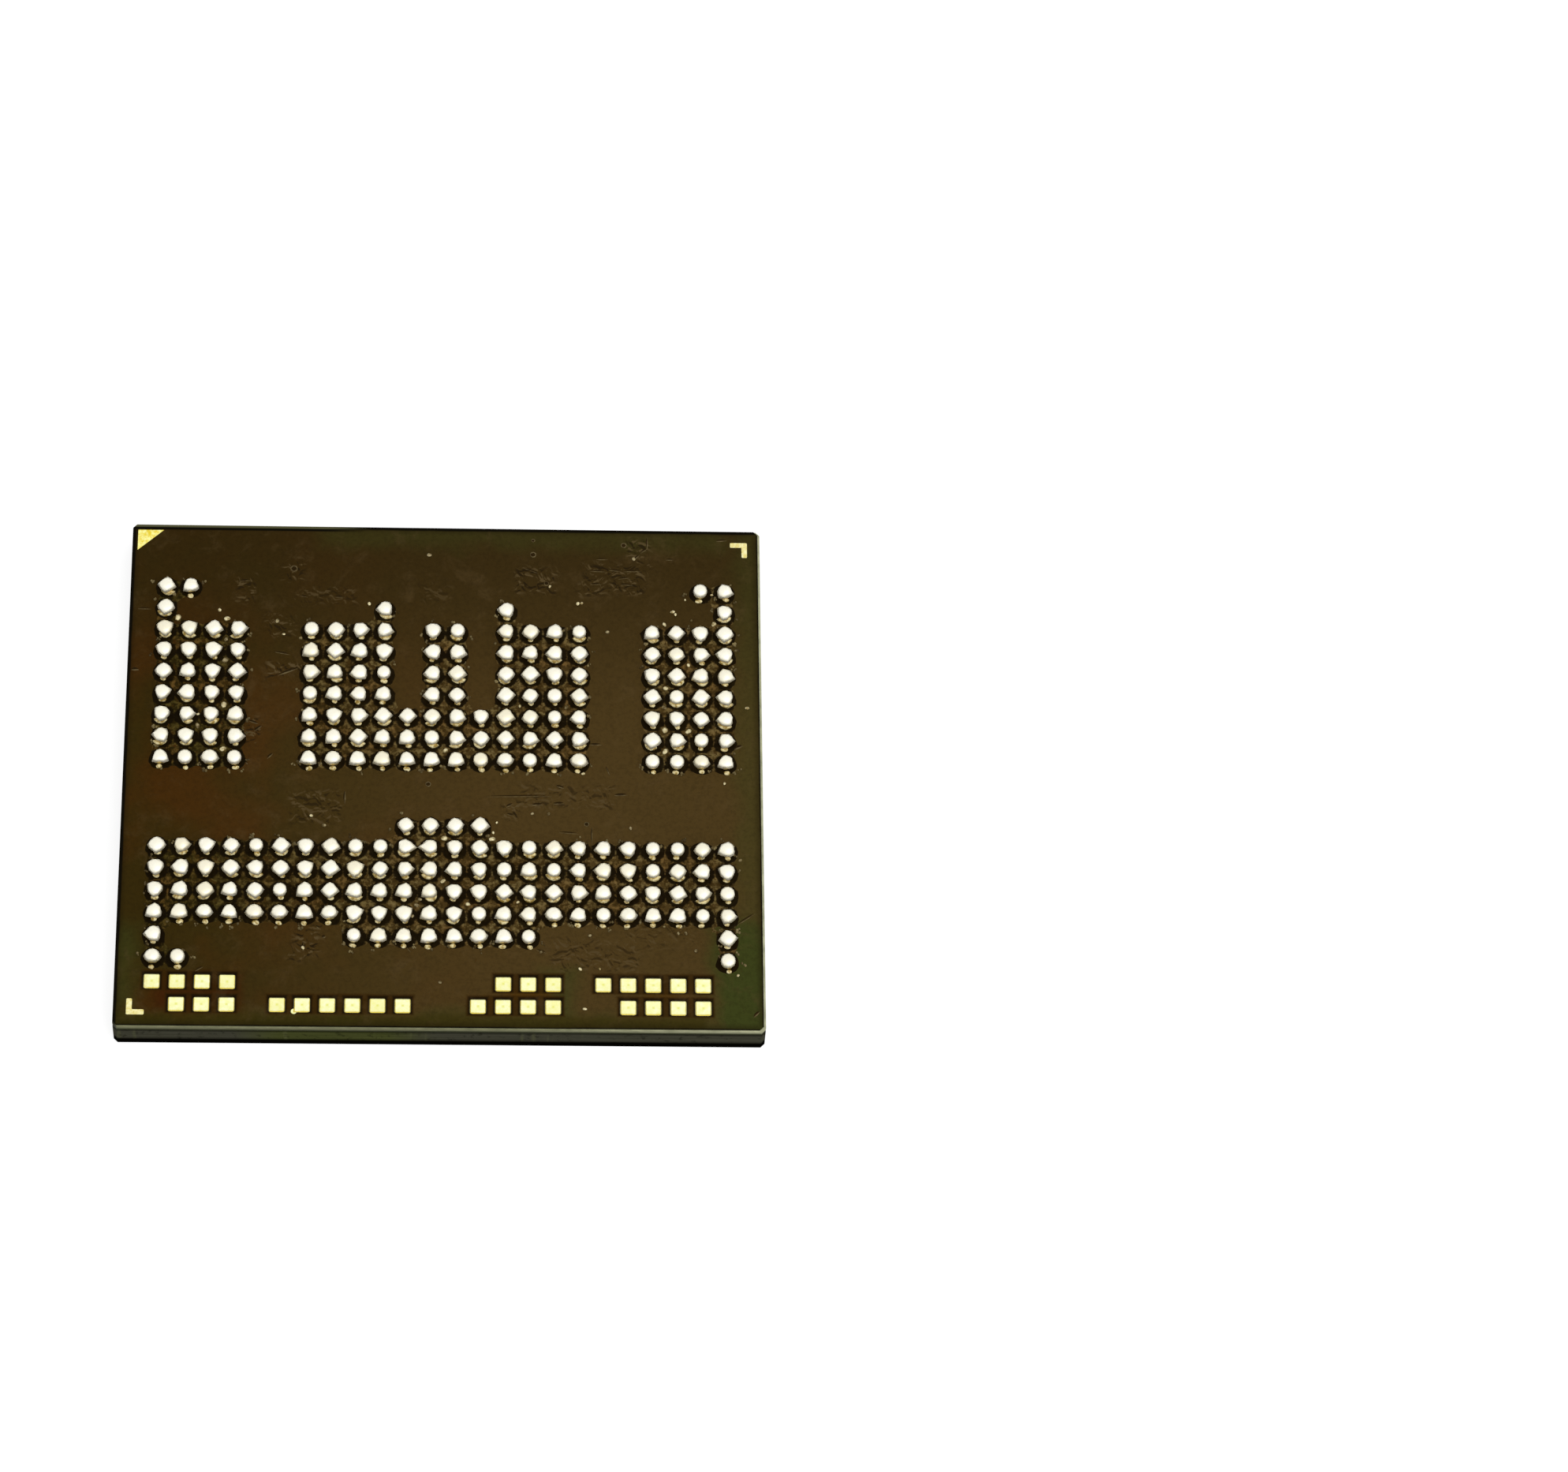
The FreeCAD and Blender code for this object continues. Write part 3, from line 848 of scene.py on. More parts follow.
# Painted shade at the rim: a soft dark band along all four edges and a thin black line in it
within_edge_shade = windows(lacquer, place, ragged, [(-0.015, 0.01, 6.37, 5.63, 1.0)], 0.08, 0.06)
within_edge_line = windows(lacquer, place, ragged, [(0.0, -0.01, 6.43, 5.69, 1.0)], 0.02, 0.04)
for share, strength, tone in ((within_edge_shade, 0.5, "#1f1705"), (within_edge_line, 1.0, "#0c0903")):
    outside = add_node(lacquer, "ShaderNodeMapRange", {}, {"Value": share, "To Min": strength, "To Max": 0.0})
    lacquer_colour = add_node(
        lacquer, "ShaderNodeMix", two_colours, {0: outside, 6: lacquer_colour, 7: linear(tone)}
    ).node.outputs[2]
# The saw has rubbed the far edge bare towards the left: an olive-grey strip, with a black line of painted
# shade inside it as along the other edges
far_left = add_node(
    lacquer,
    "ShaderNodeMapRange",
    soft_step,
    {"Value": axes["X"], "From Min": -1.5 * mm, "From Max": -2.6 * mm},
)
for from_y, to_y, strip in ((5.62, 5.65, "#0c0903"), (5.685, 5.705, "#57563a")):
    at_far_edge = add_node(
        lacquer,
        "ShaderNodeMapRange",
        soft_step,
        {"Value": axes["Y"], "From Min": from_y * mm, "From Max": to_y * mm},
    )
    strip_share = add_node(
        lacquer, "ShaderNodeMath", {"operation": "MULTIPLY"}, {0: at_far_edge, 1: far_left}
    )
    lacquer_colour = add_node(
        lacquer, "ShaderNodeMix", two_colours, {0: strip_share, 6: lacquer_colour, 7: linear(strip)}
    ).node.outputs[2]
feed(lacquer, lacquer_shader, "Base Color", lacquer_colour)
# Fine orange peel of the lacquer, about 0.08 mm, over the soft relief of the grit
lacquer_gloss = add_node(
    lacquer, "ShaderNodeMapRange", {}, {"Value": ragged, "To Min": 0.28, "To Max": 0.5}
)
feed(lacquer, lacquer_shader, "Roughness", lacquer_gloss)
peel_bump = add_node(
    lacquer, "ShaderNodeBump", {}, {"Strength": 0.35, "Distance": 0.004 * mm, "Height": grit}
)
feed(lacquer, lacquer_shader, "Normal", peel_bump)

mask = cad_copy("laminate", "mask_copy")
edit(mask)
pick(mask, "verts", lambda v: v.co.z < mask_low.z - hair)
bpy.ops.transform.translate(value=(0, 0, mask_high.z - laminate_low.z))
pick(mask, "verts", lambda v: v.co.x > 6 * mm)
bpy.ops.transform.translate(value=(-right_rim, 0, 0))
pick(mask, "verts", lambda v: v.co.y < -5 * mm)
bpy.ops.transform.translate(value=(0, front_rim, 0))
pick(mask, "verts", lambda v: v.co.x < -6 * mm)
bpy.ops.transform.translate(value=(back_off, 0, 0))
bpy.ops.mesh.select_all(action="SELECT")
bpy.ops.mesh.normals_make_consistent(inside=False)
close(mask)

opening_side = pad_side + 2 * land_gap
opening = rounded_block(opening_side, 4 * mask_thickness, mask_high.z, pad_corner + land_gap)
spurred_opening = with_spur(opening, spur_radius + land_gap)
land_sites = [site for node in land_nodes for site in sites_of(node)]
cutter = spread(spurred_at_its_site(opening, spurred_opening), land_sites)
for node in mark_nodes:
    mark_cutter = cad_copy(node, "mark_cutter")
    edit(mark_cutter)
    bpy.ops.mesh.select_all(action="SELECT")
    bpy.ops.transform.resize(value=(1, 1, 6), center_override=(0, 0, gold_middle))
    close(mark_cutter)
    cutter.select_set(True)
    bpy.context.view_layer.objects.active = cutter
    bpy.ops.object.join()
apply(mask, "BOOLEAN", operation="DIFFERENCE", solver="EXACT", object=cutter)
apply(mask, "BEVEL", width=skin_edge, segments=2, limit_method="ANGLE")
discard(cutter, opening, spurred_opening, land, spurred_land)
finish(mask, "lacquer_skin", "solder_mask", lacquer, "solder_mask")


# Solder balls: tin-silver-copper alloy, dropped on the lands as spheres and reflowed in a flux.
# They sag to flat-bottomed drops, and the paste leaves some of them lumpy or drawn to a tip.
ball_fields = sorted(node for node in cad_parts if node.startswith("solder_balls_"))
ball_radius = 0.144 * mm
ball_waist = mask_high.z + 0.086 * mm
ball_top = mask_high.z + 0.208 * mm
lump_width = 0.12 * mm
lump_gain = 1.15
lump_pick = 0.05 * mm
ball_roughness = 0.010 * mm
ball_smooth = math.radians(62)

# Reflowed solder: nearly white, satin, frosted by tin crystals, with a foot gilded by flux and painted
# reflection, and browned by painted shade
solder, solder_shader, place = start_material(
    "reflowed tin solder", Metallic=0.7, Roughness=0.45, Specular_IOR_Level=0.2
)
frost = add_node(
    solder, "ShaderNodeTexNoise", {}, {"Vector": place, "Scale": 14 / mm, "Detail": 3.0, "Roughness": 0.6}
)
white_solder = add_node(
    solder, "ShaderNodeMix", two_colours, {0: frost, 6: linear("#fdf7df"), 7: linear("#fffdf0")}
).node.outputs[2]
# Some balls keep a skin of flux that warms them: one tone for each site of the grid
ball_tone = tone_of_site(solder, place)[1]
warm_skin = add_node(solder, "ShaderNodeMapRange", {}, {"Value": ball_tone, "From Min": 0.8, "To Max": 0.5})
ball_skin = add_node(
    solder, "ShaderNodeMix", two_colours, {0: warm_skin, 6: white_solder, 7: linear("#f1e6c2")}
).node.outputs[2]
# The gilded band, flux and painted reflection, climbs to about half the height of a ball, with an uneven
# brim; below it the foot is in painted shade
height = add_node(solder, "ShaderNodeSeparateXYZ", {}, {"Vector": place}).node.outputs["Z"]
brim = add_node(solder, "ShaderNodeTexNoise", {}, {"Vector": place, "Scale": 9 / mm, "Detail": 2.0})
brim_height = add_node(
    solder, "ShaderNodeMath", {"operation": "MULTIPLY_ADD"}, {0: brim, 1: -0.08 * mm, 2: height}
)
# Brown at the very foot is painted shade; the gold band above it is flux and painted reflection
above_foot_shade = add_node(
    solder,
    "ShaderNodeMapRange",
    soft_step,
    {"Value": brim_height, "From Min": mask_high.z - 0.035 * mm, "From Max": mask_high.z + 0.005 * mm},
)
above_gilded_reflection = add_node(
    solder,
    "ShaderNodeMapRange",
    soft_step,
    {"Value": brim_height, "From Min": mask_high.z + 0.02 * mm, "From Max": mask_high.z + 0.07 * mm},
)
foot_shade_and_reflection = add_node(
    solder, "ShaderNodeMix", two_colours, {0: above_foot_shade, 6: linear("#5a3d10"), 7: linear("#f2dc92")}
).node.outputs[2]
solder_colour = add_node(
    solder, "ShaderNodeMix", two_colours, {0: above_gilded_reflection, 6: foot_shade_and_reflection, 7: ball_skin}
).node.outputs[2]
feed(solder, solder_shader, "Base Color", solder_colour)
# Crystals of 0.03 mm and more stand out of the skin of the ball
frost_bump = add_node(
    solder, "ShaderNodeBump", {}, {"Strength": 0.4, "Distance": 0.006 * mm, "Height": frost}
)
feed(solder, solder_shader, "Normal", frost_bump)

bpy.ops.object.select_all(action="DESELECT")
bpy.ops.mesh.primitive_uv_sphere_add(
    segments=12, ring_count=6, radius=ball_radius, location=(0, 0, ball_waist)
)
round_ball = bpy.context.object
bpy.ops.object.transform_apply(location=True, rotation=True, scale=True)
edit(round_ball)
pick(round_ball, "verts", lambda v: v.co.z > ball_waist + hair)
bpy.ops.transform.resize(
    value=(1, 1, (ball_top - ball_waist) / ball_radius), center_override=(0, 0, ball_waist)
)
# The test socket has pressed the crown a little flat: both rings above the waist are broader and higher
for ring_low, ring_high, broader, lift in ((0.03, 0.09, 1.1, 0.022), (0.10, 0.117, 1.3, 0.007)):
    low_z = ball_waist + ring_low * mm
    high_z = ball_waist + ring_high * mm
    pick(round_ball, "verts", lambda v: low_z < v.co.z < high_z)
    bpy.ops.transform.resize(value=(broader, broader, 1), center_override=(0, 0, ball_waist))
    bpy.ops.transform.translate(value=(0, 0, lift * mm))
bpy.ops.mesh.select_all(action="SELECT")
bpy.ops.mesh.bisect(
    plane_co=(0, 0, mask_high.z),
    plane_no=(0, 0, 1),
    use_fill=True,
    clear_inner=True,
    threshold=1e-7,
)
close(round_ball)


def drawn_ball(seed, lumps):
    """Copy of the round ball, drawn out or pressed in at its waist.

    Each lump is a direction in degrees and a reach in millimetres.
    """
    ball = round_ball.copy()
    ball.data = round_ball.data.copy()
    bpy.context.scene.collection.objects.link(ball)
    edit(ball)
    for direction, reach in lumps:
        out = Vector((math.cos(math.radians(direction)), math.sin(math.radians(direction)), 0))
        tip = Vector((0, 0, ball_waist)) + out * ball_radius
        pick(ball, "verts", lambda v: (v.co - tip).length < lump_pick)
        bpy.ops.transform.translate(
            value=out * reach * lump_gain * mm,
            use_proportional_edit=True,
            proportional_edit_falloff="SMOOTH",
            proportional_size=lump_width,
        )
    pick(ball, "verts", lambda v: v.co.z > mask_high.z + hair)
    bpy.ops.transform.vertex_random(offset=ball_roughness, uniform=0.3, normal=0.4, seed=seed)
    close(ball)
    return ball


lumpy_balls = [
    drawn_ball(1, [(0, 0.044), (90, 0.030), (180, 0.036), (270, 0.036)]),
    drawn_ball(2, [(150, 0.056), (30, 0.026), (270, 0.030)]),
    drawn_ball(3, [(0, 0.046), (90, 0.046), (180, 0.046), (270, 0.034)]),
    drawn_ball(4, [(60, 0.044), (180, 0.052), (300, 0.030)]),
    drawn_ball(5, [(0, 0.052), (120, 0.040), (240, 0.034)]),
    drawn_ball(6, [(30, 0.046), (150, 0.046), (270, 0.050)]),
    drawn_ball(7, [(90, 0.044), (210, 0.050), (330, 0.028)]),
]
# In the front row of a field the balls sit back on their lands, broad at the foot and pointed at the back
front_balls = [
    drawn_ball(8, [(90, 0.046), (210, 0.044), (330, 0.044), (270, -0.030)]),
    drawn_ball(9, [(90, 0.032), (180, 0.042), (0, 0.046), (270, -0.026)]),
    drawn_ball(10, [(60, 0.032), (210, 0.050), (330, 0.038), (270, -0.018)]),
]
# A pair of neighbours drawn towards each other, in the lower band
drawn_pair = {
    (-0.75, -1.75): drawn_ball(11, [(0, 0.09)]),
    (-0.25, -1.75): drawn_ball(12, [(180, 0.09)]),
}
dice = random.Random(41)
ball_sites = [site for node in ball_fields for site in sites_of(node)]
taken_sites = {grid_cell(x, y) for x, y in ball_sites}
round_share = 0.15


def has_ball_before(spot):
    """Whether the site in front of this one carries a ball."""
    column, row = grid_cell(*spot)
    return (column, row - 1) in taken_sites


def ball_for(spot):
    """One of the balls, turned a little at random."""
    turn = dice.uniform(-0.2, 0.2)
    size = dice.uniform(0.97, 1.05)
    for (x, y), ball in drawn_pair.items():
        if math.dist(spot, (x * mm, y * mm)) < hair:
            return ball, 0, (1, 1, 1)
    if dice.random() < round_share:
        return round_ball, turn, (size, size, 1)
    shapes = lumpy_balls if has_ball_before(spot) else front_balls
    return dice.choice(shapes), turn, (size, size, 1)


for node in ball_fields:
    balls = spread(ball_for, sites_of(node))
    only(balls)
    bpy.ops.object.shade_smooth_by_angle(angle=ball_smooth)
    finish(balls, node.replace("solder_balls", "reflowed_balls"), "solder", solder, node)
discard(round_ball, *lumpy_balls, *front_balls, *drawn_pair.values())


# Flux residue: resin left by the ball paste, dried in a film round the balls and in crumbs between them.
# It carries a near-black ring of painted contact shadow at each ball, is cloudy where it has heaped up, and
# thins out on the lacquer.
flux_cell = 0.028 * mm
flux_margin = 0.34 * mm

# Dried flux: near black at the balls as painted contact shadow, olive and amber clouds between them, brown
# where thin
flux, flux_shader, place = start_material("dried rosin flux", Roughness=0.4, Specular_IOR_Level=0.02)
ball_shadow, among_balls = [
    add_node(flux, "ShaderNodeAttribute", {"attribute_name": name}, {}).node.outputs["Fac"]
    for name in ("ball_shadow", "among_balls")
]
flux_x = add_node(flux, "ShaderNodeSeparateXYZ", {}, {"Vector": place}).node.outputs["X"]
paler_right = add_node(
    flux, "ShaderNodeMapRange", {}, {"Value": flux_x, "From Min": -5 * mm, "From Max": -1 * mm}
)
# Clouds of about 0.15 mm with finer grain in them
cloud = add_node(
    flux, "ShaderNodeTexNoise", {}, {"Vector": place, "Scale": 7.5 / mm, "Detail": 5.0, "Roughness": 0.7}
)
cloud_tone = add_node(
    flux, "ShaderNodeMapRange", soft_step, {"Value": cloud, "From Min": 0.42, "From Max": 0.66}
)
# Amber and olive patches, a millimetre or so across
patches = add_node(flux, "ShaderNodeTexNoise", {}, {"Vector": place, "Scale": 1.3 / mm, "Detail": 2.0})
amber_share = add_node(
    flux, "ShaderNodeMapRange", {}, {"Value": patches, "From Min": 0.45, "From Max": 0.62, "To Max": 0.6}
)
# Darker at the left of the package: the clouds, the body of the film and its thin rim
side_tones = []
for left, right in (("#56491f", "#7c6a40"), ("#271e05", "#3d2d10"), ("#352708", "#483516")):
    side_tones.append(
        add_node(
            flux, "ShaderNodeMix", two_colours, {0: paler_right, 6: linear(left), 7: linear(right)}
        ).node.outputs[2]
    )
olive_cloud, flux_body, thin_flux = side_tones
pale_cloud = add_node(
    flux, "ShaderNodeMix", two_colours, {0: amber_share, 6: olive_cloud, 7: linear("#6f4e24")}
).node.outputs[2]
cloudy_flux = add_node(
    flux, "ShaderNodeMix", two_colours, {0: cloud_tone, 6: flux_body, 7: pale_cloud}
).node.outputs[2]
inner_share = add_node(
    flux, "ShaderNodeMapRange", soft_step, {"Value": among_balls, "From Min": 0.45, "From Max": 0.75}
)
film_tone = add_node(
    flux, "ShaderNodeMix", two_colours, {0: inner_share, 6: thin_flux, 7: cloudy_flux}
).node.outputs[2]
# A near-black ring round each ball: painted contact shadow
ball_shadow_edge = add_node(
    flux, "ShaderNodeMath", {"operation": "MULTIPLY_ADD"}, {0: cloud, 1: -1.1, 2: ball_shadow}
)
ball_shadow_tone = add_node(
    flux,
    "ShaderNodeMapRange",
    soft_step,
    {"Value": ball_shadow_edge, "From Min": -0.2, "From Max": 0.15, "To Max": 0.95},
)
flux_colour = add_node(
    flux, "ShaderNodeMix", two_colours, {0: ball_shadow_tone, 6: film_tone, 7: linear("#130c02")}
).node.outputs[2]
feed(flux, flux_shader, "Base Color", flux_colour)

relief = {}
for name, grain_size in (("flux crumbs", 0.09 * mm), ("flux rim", 0.16 * mm)):
    relief[name] = bpy.data.textures.new(name, "CLOUDS")
    relief[name].noise_scale = grain_size
    relief[name].noise_depth = 2


def ramp(value, start, end):
    """Share from 0 at the start to 1 at the end, and level beyond them."""
    return min(1.0, max(0.0, (value - start) / (end - start)))


flux_groups = {
    "left": [node for node in ball_fields if node.endswith(("left_block", "upper_left"))],
    "right": [node for node in ball_fields if node.endswith(("right_block", "upper_right"))],
    "middle": [node for node in ball_fields if "middle" in node],
    "band": [node for node in ball_fields if "_lower_" in node],
}
for group, nodes in flux_groups.items():
    places = [site for node in nodes for site in sites_of(node)]
    low_x = min(x for x, y in places) - flux_margin
    high_x = max(x for x, y in places) + flux_margin
    low_y = min(y for x, y in places) - flux_margin
    high_y = max(y for x, y in places) + flux_margin
    bpy.ops.object.select_all(action="DESELECT")
    bpy.ops.mesh.primitive_grid_add(
        x_subdivisions=round((high_x - low_x) / flux_cell),
        y_subdivisions=round((high_y - low_y) / flux_cell),
        size=1,
        location=((low_x + high_x) / 2, (low_y + high_y) / 2, mask_high.z + 0.003 * mm),
    )
    residue = bpy.context.object
    residue.scale = (high_x - low_x, high_y - low_y, 1)
    bpy.ops.object.transform_apply(location=True, rotation=True, scale=True)
    heap = residue.vertex_groups.new(name="heap")
    outside = residue.vertex_groups.new(name="outside")
    ball_shadow_shares = []
    inner_shares = []
    taken = {grid_cell(x, y) for x, y in places}
    # In steps of the grid: own is the way to the nearest ball, inner how closely balls stand round the point
    for vertex in residue.data.vertices:
        x = vertex.co.x / pitch - 0.5
        y = vertex.co.y / pitch - 0.5
        around = [(math.floor(x) + i, math.floor(y) + j) for i in (0, 1) for j in (0, 1)]
        near = [site for site in around if site in taken]
        own = min((math.dist((x, y), site) for site in near), default=9.0)
        inner = sum((1 - abs(x - i)) * (1 - abs(y - j)) for i, j in near)
        ball_shadow_shares.append(ramp(own, 0.63, 0.39))
        inner_shares.append(inner)
        heap.add([vertex.index], ramp(own, 0.42, 0.56) * ramp(inner, 0.5, 0.8), "REPLACE")
        outside.add([vertex.index], ramp(own, 0.44, 0.58) * ramp(inner, 0.75, 0.55), "REPLACE")
    for name, shares in (("ball_shadow", ball_shadow_shares), ("among_balls", inner_shares)):
        residue.data.attributes.new(name, "FLOAT", "POINT").data.foreach_set("value", shares)
    for name, share, strength, mid_level in (
        ("flux crumbs", "heap", 0.07 * mm, 0.42),
        ("flux rim", "outside", -0.06 * mm, 0.12),
    ):
        apply(
            residue,
            "DISPLACE",
            texture=relief[name],
            vertex_group=share,
            direction="Z",
            strength=strength,
            mid_level=mid_level,
        )
    edit(residue)
    bpy.ops.mesh.select_all(action="SELECT")
    bpy.ops.mesh.bisect(
        plane_co=(0, 0, mask_high.z - 0.0005 * mm), plane_no=(0, 0, 1), clear_inner=True, threshold=1e-8
    )
    close(residue)
    bpy.ops.object.shade_smooth()
    finish(residue, "flux_residue_" + group, "solder_mask", flux)


# Paste beads at the near side of each ball, as a tongue or a brim: the pale tongues are painted reflection of
# the ball in the glossy lacquer, and the brims are flux at the foot, pale as painted reflection.
# Further crumbs of it have spattered round the outermost balls and stuck to the lacquer.

# Cloudy paste, pale as painted reflection: milky and amber patches, about 0.06 mm, softly glossy
cloudy = mottled(
    "cloudy paste painted as glint",
    16 / mm,
    3.0,
    "#a1863f",
    "#f6e9b6",
    low=0.38,
    high=0.6,
    Roughness=0.45,
    Specular_IOR_Level=0.2,
)
# Dull crumbs of rosin with a little paste in them, from dark to pale brown
crumbled = mottled(
    "crumbled rosin",
    5 / mm,
    3.0,
    "#3f3118",
    "#8f8058",
    low=0.38,
    high=0.66,
    Roughness=0.6,
    Specular_IOR_Level=0.1,
)

bpy.ops.object.select_all(action="DESELECT")
bpy.ops.mesh.primitive_ico_sphere_add(subdivisions=2, radius=1 * mm, location=(0, 0, 0))
bead = bpy.context.object
edit(bead)
bpy.ops.mesh.select_all(action="SELECT")
bpy.ops.transform.vertex_random(offset=0.12 * mm, uniform=0.3, normal=0.5, seed=12)
bpy.ops.transform.resize(value=(1, 1, 0.6), center_override=(0, 0, 0))
bpy.ops.mesh.bisect(
    plane_co=(0, 0, -0.15 * mm), plane_no=(0, 0, 1), use_fill=True, clear_inner=True, threshold=1e-7
)
close(bead)


def settled(piece, lift):
    """The joined beads set down on the lacquer, sunk or lifted a little."""
    only(piece)
    bpy.ops.object.transform_apply(location=True, rotation=True, scale=True)
    edit(piece)
    bpy.ops.mesh.select_all(action="SELECT")
    bpy.ops.transform.translate(value=(0, 0, mask_high.z + lift))
    close(piece)
    bpy.ops.object.shade_smooth()


tongues = []
brims = []
brim_share = 0.45
for x, y in ball_sites:
    shift = dice.uniform(-0.03, 0.03) * mm
    breadth = dice.uniform(0.050, 0.075)
    in_front = not has_ball_before((x, y))
    if not in_front and dice.random() < brim_share:
        brims.append((x + shift, y - 0.068 * mm, dice.uniform(1.1, 1.4)))
        continue
    reach = dice.uniform(0.165, 0.195) if in_front else dice.uniform(0.12, 0.145)
    tongues.append((x + shift, y - reach * mm, breadth, dice.uniform(0.045, 0.06)))


def bead_for(spot):
    """A bead, as broad and as long in millimetres as the spot says."""
    return bead, dice.uniform(-0.4, 0.4), (spot[2], spot[3], 0.05)


# The brim at the near foot of a ball: part of a ring, drawn out from the land
brim_radius = 0.072 * mm
brim_thickness = 0.042 * mm
bpy.ops.object.select_all(action="DESELECT")
bpy.ops.mesh.primitive_torus_add(
    major_segments=14,
    minor_segments=6,
    major_radius=brim_radius,
    minor_radius=brim_thickness,
    location=(0, 0, 0),
)
brim = bpy.context.object
edit(brim)
bpy.ops.mesh.select_all(action="SELECT")
bpy.ops.mesh.bisect(
    plane_co=(0, -0.01 * mm, 0), plane_no=(0, 1, 0), use_fill=True, clear_outer=True, threshold=1e-7
)
bpy.ops.mesh.select_all(action="SELECT")
bpy.ops.transform.vertex_random(offset=0.008 * mm, uniform=0.3, normal=0.5, seed=3)
close(brim)


def brim_for(spot):
    """A brim, turned a little and as broad as the spot says."""
    return brim, dice.uniform(-0.35, 0.35), (spot[2], 1, 1)


# The tongues and brims stand in for the reflection of each ball in the glossy lacquer: painted reflection
glint_tongues = spread(bead_for, tongues)
settled(glint_tongues, 0.006 * mm)
finish(glint_tongues, "glint_tongues", "solder_mask", cloudy)
flux_and_glint_brims = spread(brim_for, brims)
settled(flux_and_glint_brims, 0.004 * mm)
finish(flux_and_glint_brims, "flux_and_glint_brims", "solder_mask", cloudy)
discard(brim)

land_cells = {grid_cell(x, y) for x, y in land_sites}
spatter_share = 0.4
spatters = []
for x, y in ball_sites:
    column, row = grid_cell(x, y)
    for step_x, step_y in ((1, 0), (-1, 0), (0, 1), (0, -1), (1, 1), (-1, 1), (1, -1), (-1, -1)):
        beside = (column + step_x, row + step_y)
        if beside in taken_sites or beside in land_cells or dice.random() > spatter_share:
            continue
        away = math.atan2(step_y, step_x) + dice.uniform(-0.5, 0.5)
        reach = dice.uniform(0.19, 0.33) * mm
        # A cluster of two to four crumbs that touch
        for _ in range(dice.randint(2, 4)):
            radius = dice.uniform(0.012, 0.028)
            spatters.append(
                (
                    x + math.cos(away) * reach + dice.uniform(-0.04, 0.04) * mm,
                    y + math.sin(away) * reach + dice.uniform(-0.04, 0.04) * mm,
                    radius,
                    radius * 1.3,
                )
            )
rosin_crumbs = spread(bead_for, spatters)
settled(rosin_crumbs, 0)
finish(rosin_crumbs, "rosin_crumbs", "solder_mask", crumbled)


# Stray solder: grains of the ball paste that melted away from the lands and stuck to the lacquer.
# The bright ones are metal under a thin coat, and the dull ones never melted. Each has its place and
# its radius in millimetres.
bright_grains = [
    (-5.50, 3.54, 0.061), (-4.65, 3.73, 0.035), (-4.49, 3.53, 0.053), (-3.32, 3.18, 0.026),
    (-4.50, 1.51, 0.061), (-4.49, 0.49, 0.057), (-1.58, 3.92, 0.035), (-5.02, 1.29, 0.031),
    (4.68, 3.81, 0.041), (4.74, 3.75, 0.028), (4.51, 3.51, 0.041), (5.53, 3.53, 0.046),
    (4.53, 2.01, 0.046), (4.51, 1.03, 0.055), (4.99, 1.01, 0.055), (4.51, 0.54, 0.055),
    (6.20, 1.57, 0.037), (5.72, -0.18, 0.028), (0.03, 0.51, 0.046), (5.49, 4.22, 0.028),
    (4.94, 4.10, 0.023), (1.54, 1.56, 0.032), (2.84, 0.01, 0.032), (2.14, 4.38, 0.028),
    (5.00, 2.56, 0.037), (-2.76, -3.99, 0.035), (-2.25, -3.43, 0.031), (-2.66, -1.01, 0.030),
    (0.03, -1.50, 0.055), (1.00, -1.51, 0.055), (1.02, -1.36, 0.028), (0.02, -2.47, 0.046),
    (0.53, -2.99, 0.046), (1.53, -2.93, 0.032), (2.79, -4.41, 0.037), (3.18, -4.40, 0.023),
    (2.88, -5.29, 0.037), (1.09, -1.13, 0.023), (5.95, -4.52, 0.028), (2.72, 3.98, 0.036),
    (2.80, 3.99, 0.028),
]
dull_grains = [
    (-4.50, 3.04, 0.040), (-4.50, 2.55, 0.061), (-5.02, 1.02, 0.053), (-0.36, 5.10, 0.040),
    (-3.46, 3.49, 0.040), (-2.17, 1.69, 0.035), (3.33, 3.32, 0.032), (2.49, 1.54, 0.037),
    (4.50, 1.57, 0.041), (5.07, 3.61, 0.023), (2.88, 0.68, 0.028), (-2.40, -1.23, 0.035),
    (-0.50, -3.02, 0.044), (-0.44, -2.88, 0.035), (-0.58, -3.26, 0.031), (3.80, -1.23, 0.032),
    (1.81, -0.92, 0.028), (2.14, -0.92, 0.028), (-0.01, -4.73, 0.028), (4.91, -3.59, 0.032),
    (5.11, -3.98, 0.032), (4.76, -3.59, 0.028), (2.00, -4.04, 0.028), (2.98, -3.66, 0.032),
    (3.88, 5.06, 0.035),
]


def grain_for(spot):
    """A grain of the radius in millimetres that the spot gives."""
    return bead, dice.uniform(0, math.pi), (spot[2] * 1.2, spot[2] * dice.uniform(0.85, 1.1), spot[2])


# Solder under a thin coat of resin: cream, softly bright
coated = mottled(
    "resin-coated solder",
    14 / mm,
    2.0,
    "#8c7844",
    "#e8dcae",
    low=0.35,
    high=0.6,
    Metallic=0.3,
    Roughness=0.4,
)
# Paste that never melted: dull and tan
dull_paste = mottled(
    "unmelted paste",
    12 / mm,
    3.0,
    "#5c4d2c",
    "#b3a47c",
    low=0.38,
    high=0.64,
    Roughness=0.7,
    Specular_IOR_Level=0.1,
)

for name, grains, slot, material in (
    ("stray_solder", bright_grains, "solder", coated),
    ("stray_paste", dull_grains, "solder_mask", dull_paste),
):
    stray = spread(grain_for, [(x * mm, y * mm, radius) for x, y, radius in grains])
    settled(stray, 0.012 * mm)
    finish(stray, name, slot, material)


